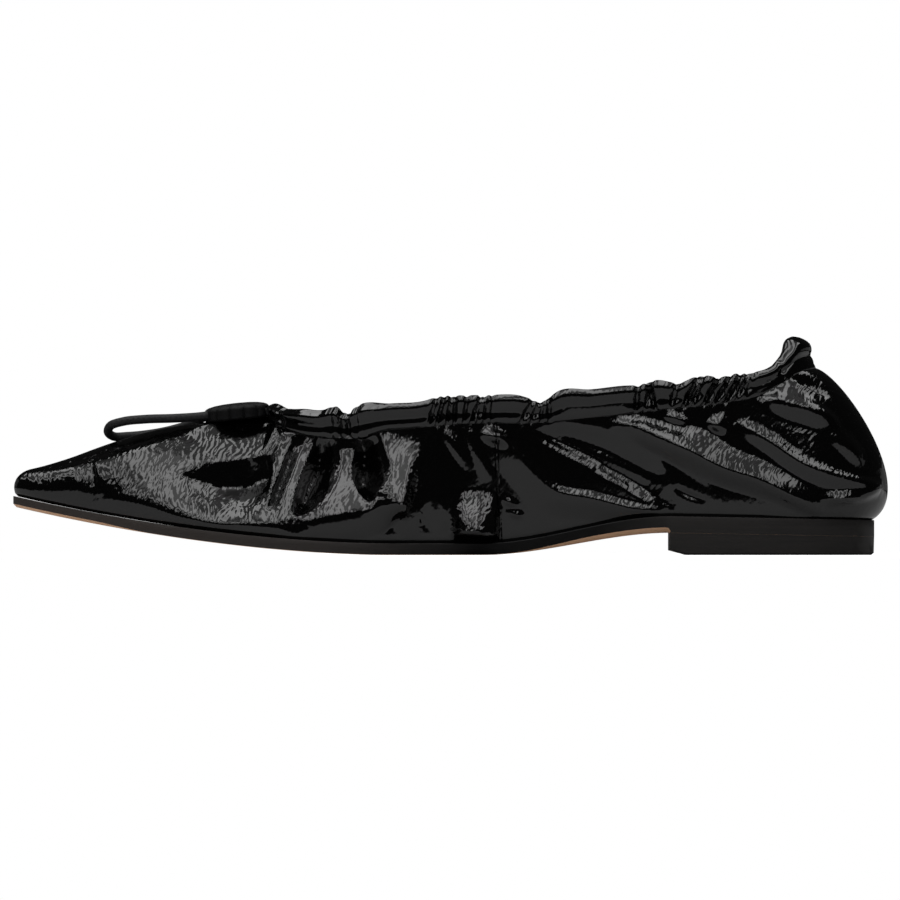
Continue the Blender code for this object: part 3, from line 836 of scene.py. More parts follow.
@dataclass(frozen=True)
class PatentFinish(Finish):
    """High gloss crinkled patent leather, with a fine groove along its seams; depths are in metres."""

    crinkle: Optional[bpy.types.NodeTree] = None
    depth: float = 0.00022
    seam: bool = False
    gloss: float = 0.7
    level: float = 0.515
    groove_depth: float = 0.0006

    def material(self) -> bpy.types.Material:
        """The crinkle lifts the normal, the grain changes the roughness a little and seams are a groove.

        The bump's height is the crinkle less its mean level, times the mesh's own share where there is one.

        Returns:
            The material.
        """
        material, graph, shader, place = self.start()
        shader.inputs["Specular IOR Level"].default_value = self.gloss
        marks = graph.node("ShaderNodeGroup", {"node_tree": self.crinkle}, {"Vector": place})
        height = graph.math("SUBTRACT", marks.outputs["Height"], self.level)
        if self.seam:
            share = graph.node("ShaderNodeAttribute", {"attribute_name": "crinkle_share"}).outputs["Fac"]
            height = graph.math("MULTIPLY", height, share)
        relief = {"Height": height, "Strength": 0.8, "Distance": self.depth}
        bump = graph.node("ShaderNodeBump", values=relief)
        rough = graph.spread(marks.outputs["Grain"], 0.3, 0.7, self.roughness * 0.8, self.roughness * 1.25)
        graph.tree.links.new(rough, shader.inputs["Roughness"])
        last = bump.outputs["Normal"]
        if self.seam:
            offset = graph.node("ShaderNodeAttribute", {"attribute_name": "seam_offset"}).outputs["Fac"]
            groove = graph.spread(graph.math("ABSOLUTE", offset), 0.15, 0.7, 0.0, 1.0)
            relief = {"Height": groove, "Strength": 1.0, "Distance": self.groove_depth, "Normal": last}
            last = graph.node("ShaderNodeBump", values=relief).outputs["Normal"]
        graph.tree.links.new(last, shader.inputs["Normal"])
        return material


@dataclass(frozen=True)
class EdgeFinish(Finish):
    """Black painted leather edge with level streaks and wear, browner at the toe, with painted shade at the
    waist.
    """

    streaks: Optional[bpy.types.NodeTree] = None
    worn: tuple = (0.049, 0.041, 0.037)
    # Near black of the painted shade over the waist, which stands in for the shadow there.
    waist_shade: tuple = (0.001, 0.001, 0.001)
    gloss: float = 0.22

    def material(self) -> bpy.types.Material:
        """Streaks change the shade and the relief, and wear changes the roughness.

        The paint turns to the worn colour by three tenths of the streaks and seven tenths of the nearness
        to the toe; over the waist, between the ball and the heel's breast, it turns to a painted shade near
        black.

        Returns:
            The material.
        """
        material, graph, shader, place = self.start()
        shader.inputs["Specular IOR Level"].default_value = self.gloss
        marks = graph.node("ShaderNodeGroup", {"node_tree": self.streaks}, {"Vector": place})
        back = graph.node("ShaderNodeSeparateXYZ", values={0: place}).outputs["X"]
        thin = graph.spread(back, -0.1, 0.0, 1.0, 0.0)
        ahead = graph.spread(back, -0.02, 0.01, 1.0, 0.0)
        behind = graph.spread(back, 0.045, 0.066, 0.0, 1.0)
        # Share of the waist, where the edge is darkened by painted shade.
        waist = graph.math("SUBTRACT", 1.0, graph.math("ADD", ahead, behind))
        streaked = graph.math("MULTIPLY", marks.outputs["Streak"], 0.3)
        share = graph.math("ADD", streaked, graph.math("MULTIPLY", thin, 0.7))
        paint = graph.tint(share, self.color, self.worn)
        # Painted shade: over the waist the paint turns to the near black shade colour.
        graph.tree.links.new(graph.tint(waist, paint, self.waist_shade), shader.inputs["Base Color"])
        rough = graph.spread(marks.outputs["Wear"], 0.0, 1.0, self.roughness, self.roughness + 0.2)
        graph.tree.links.new(rough, shader.inputs["Roughness"])
        relief = {"Height": marks.outputs["Streak"], "Strength": 0.5, "Distance": 0.0001}
        bump = graph.node("ShaderNodeBump", values=relief)
        graph.tree.links.new(bump.outputs["Normal"], shader.inputs["Normal"])
        return material


@dataclass(frozen=True)
class MatteFinish(Finish):
    """A plain matte finish with a small grain, for the lining, the natural underside and the stop."""

    grain: Optional[bpy.types.NodeTree] = None
    change: float = 0.3
    depth: float = 0.00006
    gloss: float = 0.5

    def material(self) -> bpy.types.Material:
        """The grain gives relief; the slow shade runs between a darker and a lighter tint of the colour.

        Returns:
            The material.
        """
        material, graph, shader, place = self.start()
        shader.inputs["Specular IOR Level"].default_value = self.gloss
        marks = graph.node("ShaderNodeGroup", {"node_tree": self.grain}, {"Vector": place})
        dark = tuple(part * (1.0 - self.change) for part in self.color)
        light = tuple(part * (1.0 + self.change) for part in self.color)
        share = graph.spread(marks.outputs["Shade"], 0.3, 0.7, 0.0, 1.0)
        graph.tree.links.new(graph.tint(share, dark, light), shader.inputs["Base Color"])
        rough = graph.spread(marks.outputs["Height"], 0.0, 0.7, self.roughness, self.roughness - 0.08)
        graph.tree.links.new(rough, shader.inputs["Roughness"])
        relief = {"Height": marks.outputs["Height"], "Strength": 0.6, "Distance": self.depth}
        bump = graph.node("ShaderNodeBump", values=relief)
        graph.tree.links.new(bump.outputs["Normal"], shader.inputs["Normal"])
        return material


@dataclass(frozen=True)
class CordFinish(Finish):
    """Round braided elastic: small crossing strands that follow the cord."""

    pitch: float = 0.0016
    strands: int = 4

    def material(self) -> bpy.types.Material:
        """The greater of two slanted sine waves on the cord's own map is the braid's relief and its painted
        sheen.

        Returns:
            The material.
        """
        material, graph, shader, _ = self.start()
        flat = graph.node("ShaderNodeUVMap", {"uv_map": "cord_map"}).outputs["UV"]
        parts = graph.node("ShaderNodeSeparateXYZ", values={0: flat})
        turn = graph.math("MULTIPLY", parts.outputs["X"], 2.0 * math.pi * self.strands)
        run = graph.math("MULTIPLY", parts.outputs["Y"], 2.0 * math.pi / self.pitch)
        one = graph.math("SINE", graph.math("ADD", run, turn))
        two = graph.math("SINE", graph.math("SUBTRACT", run, turn))
        braid = graph.spread(graph.math("MAXIMUM", one, two), -1.0, 1.0, 0.0, 1.0)
        # Painted sheen: the strands' crests are painted lighter than the grooves between them.
        light = tuple(2.2 * part for part in self.color)
        graph.tree.links.new(graph.tint(braid, self.color, light), shader.inputs["Base Color"])
        bump = graph.node("ShaderNodeBump", values={"Height": braid, "Strength": 0.5, "Distance": 0.00012})
        graph.tree.links.new(bump.outputs["Normal"], shader.inputs["Normal"])
        return material


class MeshBlock(NamedTuple):
    """Points and four-sided faces of one part of a mesh, with the number of its finish."""

    points: np.ndarray
    faces: np.ndarray
    finish: int


def sheet_faces(columns: int, rows: int, closed: bool) -> np.ndarray:
    """Faces of a grid whose points run up each column in turn.

    Args:
        columns: how many columns the grid has.
        rows: how many points a column has.
        closed: whether the last column joins the first.
    Returns:
        Four point numbers for each face.
    """
    across = np.arange(columns if closed else columns - 1)[:, None]
    up = np.arange(rows - 1)[None, :]
    here = across * rows + up
    there = (across + 1) % columns * rows + up
    return np.stack([here, there, there + 1, here + 1], axis=-1).reshape(-1, 4)


class Piece:
    """Turns numpy grids into a finished object that rides on the shoe."""

    def __init__(self, name: str, node: str, slot: str) -> None:
        """Keeps the piece's names.

        Args:
            name: the piece's own name.
            node: the CAD node that it stands for, or nothing.
            slot: its material slot; not used.
        """
        self.name = name
        self.node = node
        self.slot = slot

    def make(self, blocks: list, finishes: list, merge: bool = True) -> bpy.types.Object:
        """Joins blocks of points and faces into one smooth mesh object.

        Args:
            blocks: mesh blocks with points in metres.
            finishes: materials, in the order of the blocks' finish numbers.
            merge: whether doubled points are joined and empty faces taken away.
        Returns:
            The object, riding on the shoe's body.
        """
        starts = np.cumsum([0] + [len(block.points) for block in blocks[:-1]])
        points = np.concatenate([block.points.reshape(-1, 3) for block in blocks])
        faces = np.concatenate([block.faces + start for block, start in zip(blocks, starts)])
        picks = np.concatenate([np.full(len(block.faces), block.finish) for block in blocks])
        mesh = bpy.data.meshes.new(self.name)
        mesh.from_pydata(points, [], faces)
        mesh.polygons.foreach_set("material_index", picks.astype(np.int32))
        for finish in finishes:
            mesh.materials.append(finish)
        if merge:
            work = bmesh.new()
            work.from_mesh(mesh)
            bmesh.ops.remove_doubles(work, verts=work.verts, dist=0.002 * MM)
            bmesh.ops.dissolve_degenerate(work, edges=work.edges, dist=0.001 * MM)
            bmesh.ops.recalc_face_normals(work, faces=work.faces)
            work.to_mesh(mesh)
            work.free()
        mesh.polygons.foreach_set("use_smooth", np.ones(len(mesh.polygons), bool))
        mesh.set_sharp_from_angle(angle=SHARP_ANGLE)
        mesh.update()
        made = bpy.data.objects.new(self.name, mesh)
        bpy.context.scene.collection.objects.link(made)
        return self.settle(made)

    def settle(self, made: bpy.types.Object) -> bpy.types.Object:
        """Lets an object ride on the shoe and stand for its CAD node, and logs its size.

        Args:
            made: the object.
        Returns:
            The same object.
        """
        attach(made, "root")
        if self.node:
            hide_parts(self.node)
        sizes = np.ptp(np.array([corner[:] for corner in made.bound_box]), axis=0) / MM
        LOG.info("%s: %d faces, %s mm", self.name, len(made.data.polygons), np.round(sizes, 1))
        return made


class UpperGrid(NamedTuple):
    """The upper's outer wall as a closed loop of columns, toe to heel on the outer side and back."""

    points: np.ndarray
    normals: np.ndarray
    around: np.ndarray
    up: np.ndarray
    throat: int


@dataclass(frozen=True)
class Upper:
    """The patent upper: its wall, its creases and the gathered casing round the collar.

    The inner side's folds have a share of the outer side's depth. Folds fade over a distance at the wall's
    lower edge, at the vamp's ridge and under the casing. The casing is fuller by a drop at the throat.
    """

    columns: int = 480
    rows: int = 72
    lining_step: int = 4
    lip: float = 1.0
    wall: float = 1.5
    inner_share: float = 0.4
    edge_fade: float = 3.0
    ridge_fade: float = 5.0
    casing_fade: float = 4.0
    seam_station: float = 117.2
    seam_slant: float = 1.6
    casing_columns: int = 620
    casing_points: int = 30
    throat_drop: float = 2.2

    def side_wall(self, side: Side) -> tuple[np.ndarray, int]:
        """One side of the plain wall, its columns running from the toe's tip to the back of the heel.

        A column is a cubic bow from the lower edge F to its top B: it leaves F rising with a swell
        outward and comes in to B level at the ridge and steeply at the collar. Ahead of the throat B is
        on the vamp's ridge; behind it B is on the collar's outline.

        Args:
            side: which side to work out.
        Returns:
            Points by column and row as station, side distance and height, and the throat's column.
        """
        edge = half_outline(SOLE_OUTLINE, side, self.columns)
        away = outward(edge, side)
        edge = edge - self.lip * away
        throat = int(np.argmin(np.abs(edge[:, 0] - RIDGE_MATCH[-1].edge)))
        collar = half_outline(COLLAR_OUTLINE, side, self.columns - throat)
        ridge_station = column(RIDGE_MATCH, "ridge", edge[:throat, 0])
        top = np.concatenate([np.stack([ridge_station, np.zeros(throat)], axis=1), collar])
        base = column(CASING, "top", collar[:, 0]) - column(CASING, "tall", collar[:, 0])
        top_height = np.concatenate([column(RIDGE, "height", ridge_station), base])
        top_height[throat] = column(RIDGE, "height", collar[:1, 0])[0]
        edge_height = LAST.sole_top(edge[:, 0]) - LAST.tuck
        share = ease((np.arange(self.columns) - throat) * 56.0 / self.columns / 9.0)[:, None]
        towards = unit(unit(edge - top) * (1.0 - share) + away * share)
        shape = {name: column(WALL_SHAPE, name, edge[:, 0]) for name in WallRow._fields[1:]}
        first = np.column_stack([edge, edge_height])
        last = np.column_stack([top, top_height])
        rise = shape["rise_share"] * (top_height - edge_height)
        leave = first + np.column_stack([away * shape["swell"][:, None], rise])
        reach = np.maximum(np.sum((edge - top) * towards, axis=1) * shape["reach_share"], 1.0)
        drop = shape["drop_share"] * (top_height - edge_height)
        arrive = last + np.column_stack([towards * reach[:, None], -drop])
        at = np.linspace(0.0, 1.0, self.rows + 1)[None, :, None]
        bow = (
            first[:, None] * (1 - at) ** 3
            + 3 * leave[:, None] * at * (1 - at) ** 2
            + 3 * arrive[:, None] * at**2 * (1 - at)
            + last[:, None] * at**3
        )
        return bow, throat

    def plain_grid(self) -> UpperGrid:
        """The plain wall of both sides as one closed loop, with its normals and its surface coordinates.

        The normal is the cross product of the step to the next column and the step up the column. On
        the ridge both sides share the mean of their normals one row lower.

        Returns:
            Points in millimetres on the frame's axes, normals, distance round the lower edge from the
            back of the heel (outer side positive) and distance up each column.
        """
        outer, throat = self.side_wall(Side.LATERAL)
        inner, _ = self.side_wall(Side.MEDIAL)
        points = LAST.place(np.concatenate([outer, inner[-2:0:-1]])) / MM
        count = len(points)
        run = np.roll(points, -1, axis=0) - np.roll(points, 1, axis=0)
        rise = np.gradient(points, axis=1)
        normals = unit(np.cross(run, rise))
        ahead = np.arange(throat + 1)
        shared = unit(normals[ahead, -2] + normals[-ahead, -2])
        normals[ahead, -1] = shared
        normals[-ahead, -1] = shared
        steps = np.linalg.norm(np.diff(points[:, 0], axis=0, append=points[:1, 0]), axis=1)
        run_length = np.concatenate([[0.0], np.cumsum(steps)[:-1]])
        around = run_length[self.columns - 1] - run_length
        climbs = np.linalg.norm(np.diff(points, axis=1), axis=2)
        up = np.concatenate([np.zeros((count, 1)), np.cumsum(climbs, axis=1)], axis=1)
        return UpperGrid(points, normals, around, up, throat)

    def on_surface(self, grid: UpperGrid, path: np.ndarray, side: Side) -> np.ndarray:
        """Places on the plain wall of points given by station and height, seen from one side.

        Each is the nearest grid point, moved along the wall's tangent plane to the exact station and height
        where the wall is steep enough for that.

        Args:
            grid: the plain wall.
            path: stations and heights.
            side: which side of the shoe.
        Returns:
            One place for each of them, in millimetres.
        """
        first, end = (0, self.columns) if side is Side.LATERAL else (self.columns - 1, len(grid.points))
        numbers = np.arange(first, end)
        half = grid.points[numbers].reshape(-1, 3)
        station = LAST.length / 2 - half[:, 0]
        gaps = (station[None] - path[:, :1]) ** 2 + (half[None, :, 2] - path[:, 1:]) ** 2
        nearest = np.argmin(gaps, axis=1)
        spots = half[nearest].copy()
        facing = grid.normals[numbers].reshape(-1, 3)[nearest]
        along, rise = LAST.length / 2 - path[:, 0] - spots[:, 0], path[:, 1] - spots[:, 2]
        steep = (np.abs(facing[:, 1]) > 0.5) & (np.hypot(along, rise) < 1.0)
        across = -(facing[:, 0] * along + facing[:, 2] * rise) / np.where(steep, facing[:, 1], 1.0)
        return spots + np.where(steep[:, None], np.stack([along, across, rise], axis=1), 0.0)

    def fold_push(self, grid: UpperGrid, fold: FoldRow, side: Side) -> np.ndarray:
        """How far one fold moves each grid point along its normal.

        The fold's line is a smooth curve through its path on the plain wall. The push falls from its full
        value at the line to nothing at the flank's width, as a straight slope less a sine that rounds
        it off; push and widths are smooth curves along the line.

        Args:
            grid: the plain wall.
            fold: the fold's row.
            side: the side of the shoe that it lies on.
        Returns:
            Millimetres for each column and row.
        """
        spots = self.on_surface(grid, np.array(fold.path, float), side)
        knots = distance_along(spots) / distance_along(spots)[-1]
        line = line_through(spots, 70)
        heading = unit(np.gradient(line, axis=0))
        reach = max(*fold.above, *fold.below)
        low, high = line.min(axis=0) - reach, line.max(axis=0) + reach
        inside = np.all((grid.points > low) & (grid.points < high), axis=-1)
        spots = grid.points[inside]
        gaps = np.linalg.norm(spots[:, None] - line[None], axis=2)
        nearest = np.argmin(gaps, axis=1)
        turn = np.cross(heading[nearest], spots - line[nearest])
        left = np.sum(turn * grid.normals[inside], axis=1) * side.value < 0.0
        share = nearest / (len(line) - 1.0)
        above, below, crest = (
            hermite(knots, np.broadcast_to(np.array(values, float), knots.shape), share)
            for values in (fold.above, fold.below, fold.push)
        )
        out = np.clip(gaps[np.arange(len(spots)), nearest] / np.where(left, above, below), 0.0, 1.0)
        flank = out - fold.soft * np.sin(2.0 * math.pi * out) / (2.0 * math.pi)
        push = np.zeros(grid.up.shape)
        push[inside] = crest * (1.0 - flank)
        return push

    def pinch_wave(self, station: np.ndarray, side: np.ndarray, above: np.ndarray) -> np.ndarray:
        """Depth of the gathers: the sum of bell-shaped valleys at the pinches, each with its slant.

        Args:
            station: stations of the points.
            side: side distances of the points, whose sign tells the inner side.
            above: height above the casing's base, negative on the wall below it.
        Returns:
            Millimetres inward for each point; on the wall it dies out over each pinch's reach.
        """
        shift = np.where(side > 0.0, 1.7, 0.0)
        total = np.zeros(np.broadcast(station, above).shape)
        for pinch in PINCHES:
            middle = pinch.station + shift - pinch.slant * above
            bell = np.exp(-(((station - middle) / pinch.width) ** 2))
            total += pinch.depth * bell * np.exp(np.minimum(above, 0.0) / pinch.reach * 1.6)
        return total

    def creased(self, grid: UpperGrid) -> np.ndarray:
        """The wall's points with every fold and gather pushed along the normals.

        Folds fade by soft steps at the lower edge, at the vamp's ridge and, to three tenths, under the
        casing. A last small push draws the lower edge in over the sole, except at the back of the heel.

        Args:
            grid: the plain wall.
        Returns:
            The creased points by column and row, in millimetres.
        """
        push = np.zeros(grid.up.shape)
        for fold in FOLDS:
            push += self.fold_push(grid, fold, Side.LATERAL)
            push += self.inner_share * self.fold_push(grid, fold, Side.MEDIAL)
        tall = grid.up[:, -1:]
        push *= ease(grid.up / self.edge_fade)
        numbers = np.arange(len(grid.up))
        ahead = np.minimum(numbers, len(numbers) - numbers) <= grid.throat
        at_ridge = ease((tall - grid.up) / self.ridge_fade)
        at_casing = 0.3 + 0.7 * ease((tall - grid.up) / self.casing_fade)
        push = push * np.where(ahead[:, None], at_ridge, at_casing)
        station = LAST.length / 2 - grid.points[..., 0]
        side = grid.points[..., 1] - LAST.axis_shift
        gather = self.pinch_wave(station, side, grid.up - tall)
        push -= np.where(ahead[:, None], 0.0, 0.3 * gather)
        push -= 0.5 * ease((station - 24.0) / 20.0) * (1.0 - ease(grid.up / 1.5))
        return grid.points + grid.normals * push[..., None]

    def build_wall(self, patent: bpy.types.Material, lining: bpy.types.Material) -> bpy.types.Object:
        """The hollow wall: the creased outer grid, the lining inside it and the rims between them.

        Args:
            patent: material of the outside.
            lining: material of the inside.
        Returns:
            The wall's object.
        """
        grid = self.plain_grid()
        outer = self.creased(grid)
        inner = (outer - grid.normals * self.wall)[:, :: self.lining_step]
        count, tall = outer.shape[:2]
        deep = inner.shape[1]
        throat = grid.throat
        skin = sheet_faces(count, tall, True)
        under = sheet_faces(count, deep, True)[:, ::-1] + count * tall
        here = np.arange(count)
        there = (here + 1) % count
        low = np.stack([there * tall, here * tall, here * deep, there * deep], axis=1)
        low[:, 2:] += count * tall
        rim = here[throat : count - throat]
        after = there[throat : count - throat]
        high = np.stack([rim * tall, after * tall, after * deep, rim * deep], axis=1)
        high[:, :2] += tall - 1
        high[:, 2:] += count * tall + deep - 1
        points = np.concatenate([outer.reshape(-1, 3), inner.reshape(-1, 3)]) * MM
        faces = np.concatenate([skin, low, high, under])
        finishes = np.zeros(len(faces), np.int32)
        finishes[len(skin) + len(low) :] = 1
        block = MeshBlock(points, faces, 0)
        made = Piece("upper_wall", "upper", "patent").make([block], [patent, lining], merge=False)
        made.data.polygons.foreach_set("material_index", finishes)
        seams = self.seam_offset(grid)
        inside = np.full((count, deep), 9.0)
        store = made.data.attributes.new("seam_offset", "FLOAT", "POINT")
        store.data.foreach_set("value", np.concatenate([seams.ravel(), inside.ravel()]).astype(np.float32))
        share = np.concatenate([self.crinkle_share(grid, outer).ravel(), np.zeros(inside.size)])
        store = made.data.attributes.new("crinkle_share", "FLOAT", "POINT")
        store.data.foreach_set("value", share.astype(np.float32))
        self.weld_ridge(made)
        return made

    def crinkle_share(self, grid: UpperGrid, outer: np.ndarray) -> np.ndarray:
        """How strong the crinkle is: full where the wall leans back, weak where it is upright.

        The lean is the angle between the creased wall's normal and straight up; the share falls to a
        quarter over ten degrees beyond 74 and grows by up to three tenths on the vamp.

        Args:
            grid: the plain wall.
            outer: the creased wall's points.
        Returns:
            A factor for each column and row.
        """
        along = np.roll(outer, -1, axis=0) - np.roll(outer, 1, axis=0)
        facing = unit(np.cross(along, np.gradient(outer, axis=1)))
        upward = facing[..., 2] * np.sign(np.sum(facing * grid.normals, axis=-1))
        lean = np.degrees(np.arccos(np.clip(upward, -1.0, 1.0)))
        station = LAST.length / 2 - outer[..., 0]
        leaning = 0.25 + 0.75 * (1.0 - ease((lean - 74.0) / 10.0))
        return leaning * (1.0 + 0.3 * ease((station - 170.0) / 25.0))

    def seam_offset(self, grid: UpperGrid) -> np.ndarray:
        """Distance from the nearest seam: one up each side, slanting forward, and one up the back.

        Args:
            grid: the plain wall.
        Returns:
            Signed millimetres for each column and row.
        """
        station = LAST.length / 2 - grid.points[..., 0]
        side_seam = station - self.seam_station - self.seam_slant * grid.up / grid.up[:, -1:]
        back_seam = np.broadcast_to(grid.around[:, None], side_seam.shape)
        return np.where(np.abs(side_seam) < np.abs(back_seam), side_seam, back_seam)

    def weld_ridge(self, made: bpy.types.Object) -> None:
        """Joins the two sides where they meet on the vamp's ridge.

        Args:
            made: the wall's object.
        """
        work = bmesh.new()
        work.from_mesh(made.data)
        bmesh.ops.remove_doubles(work, verts=work.verts, dist=0.004 * MM)
        bmesh.ops.dissolve_degenerate(work, edges=work.edges, dist=0.001 * MM)
        work.to_mesh(made.data)
        work.free()
        made.data.polygons.foreach_set("use_smooth", np.ones(len(made.data.polygons), bool))
        made.data.set_sharp_from_angle(angle=SHARP_ANGLE)
        made.data.update()

    def casing_section(self) -> np.ndarray:
        """The casing's closed section as distance outward and share of its height.

        It is a smooth line through corners: from the base the face leans outward over a stitched crease,
        rolls over the top and goes down inside.

        Returns:
            Distance in millimetres and share for each point round the section.
        """
        corners = np.array(
            [
                (-0.3, -0.05), (0.5, 0.04), (0.75, 0.14), (0.65, 0.27), (0.35, 0.38), (0.95, 0.55),
                (1.3, 0.7), (1.3, 0.8), (1.0, 0.88), (0.1, 0.985), (-0.6, 1.0), (-1.3, 0.93),
                (-1.7, 0.75), (-1.7, 0.4), (-1.6, 0.1), (-1.2, -0.05), (-0.3, -0.05),
            ]
        )
        scaled = corners * np.array([1.0, 8.0])
        return line_through(scaled, self.casing_points + 1)[:-1] / np.array([1.0, 8.0])

    def build_casing(self, patent: bpy.types.Material) -> bpy.types.Object:
        """The gathered casing: its section carried round the collar, pinched in and dipped at the gathers.

        The face hangs lower and stands out further round the throat, and the roll is thicker at the back of
        the heel. The stitched crease is filled by a bell on the flat stretch behind the side seam, and the
        face is drawn in by one near its base at the heel.

        Args:
            patent: its material.
        Returns:
            The casing's object.
        """
        outer = half_outline(COLLAR_OUTLINE, Side.LATERAL, self.casing_columns)
        inner = half_outline(COLLAR_OUTLINE, Side.MEDIAL, self.casing_columns)
        away = np.concatenate([outward(outer, Side.LATERAL), outward(inner, Side.MEDIAL)[-2:0:-1]])
        ring = np.concatenate([outer, inner[-2:0:-1]])
        base = column(CASING, "top", ring[:, 0]) - column(CASING, "tall", ring[:, 0])
        tall = column(CASING_TOP, "height", ring[:, 0]) - base
        lean = column(CASING, "lean", ring[:, 0])
        full = self.throat_drop * ease((ring[:, 0] - 150.0) / 10.0) * ease((187.5 - ring[:, 0]) / 3.0)
        base, tall = base - full, tall + full
        section = self.casing_section()
        share = section[None, :, 1]
        rise = tall[:, None] * share
        pinch = self.pinch_wave(ring[:, :1], ring[:, 1:], rise)
        thick = 1.0 + 0.9 * ease((30.0 - ring[:, :1]) / 5.0) * ease((share - 0.1) / 0.4)
        out = section[None, :, 0] * thick - lean[:, None] * share
        outside = section[None, :, 0] > 0.0
        out = out + 0.8 * full[:, None] * outside * (1.0 - ease((share - 0.74) / 0.2))
        rear = ease((46.0 - ring[:, :1]) / 8.0)
        out = out - 0.5 * rear * np.exp(-(((share - 0.14) / 0.12) ** 2)) * outside
        plain = ease((ring[:, :1] - 77.0) / 4.0) * ease((101.0 - ring[:, :1]) / 4.0)
        out = out + 0.5 * plain * np.exp(-(((share - 0.37) / 0.12) ** 2)) * outside
        out = out - pinch * np.where(outside, 1.0, 0.45) * ease((share + 0.3) / 0.6)
        rise = rise - 0.45 * pinch * ease((share - 0.55) / 0.45)
        spot = ring[:, None] + away[:, None] * out[..., None]
        height = base[:, None] + rise
        points = LAST.to_place(spot[..., 0], spot[..., 1], height)
        block = MeshBlock(points.reshape(-1, 3), sheet_rings(len(ring), len(section)), 0)
        return Piece("collar_casing", "", "patent").make([block], [patent])


def sheet_rings(rings: int, around: int) -> np.ndarray:
    """Faces of a tube that closes both round its section and along its path.

    Args:
        rings: how many sections the path has.
        around: how many points a section has.
    Returns:
        Four point numbers for each face.
    """
    ring = np.arange(rings)[:, None]
    spot = np.arange(around)[None, :]
    here, there = ring * around, (ring + 1) % rings * around
    after = (spot + 1) % around
    return np.stack([here + spot, there + spot, there + after, here + after], axis=-1).reshape(-1, 4)


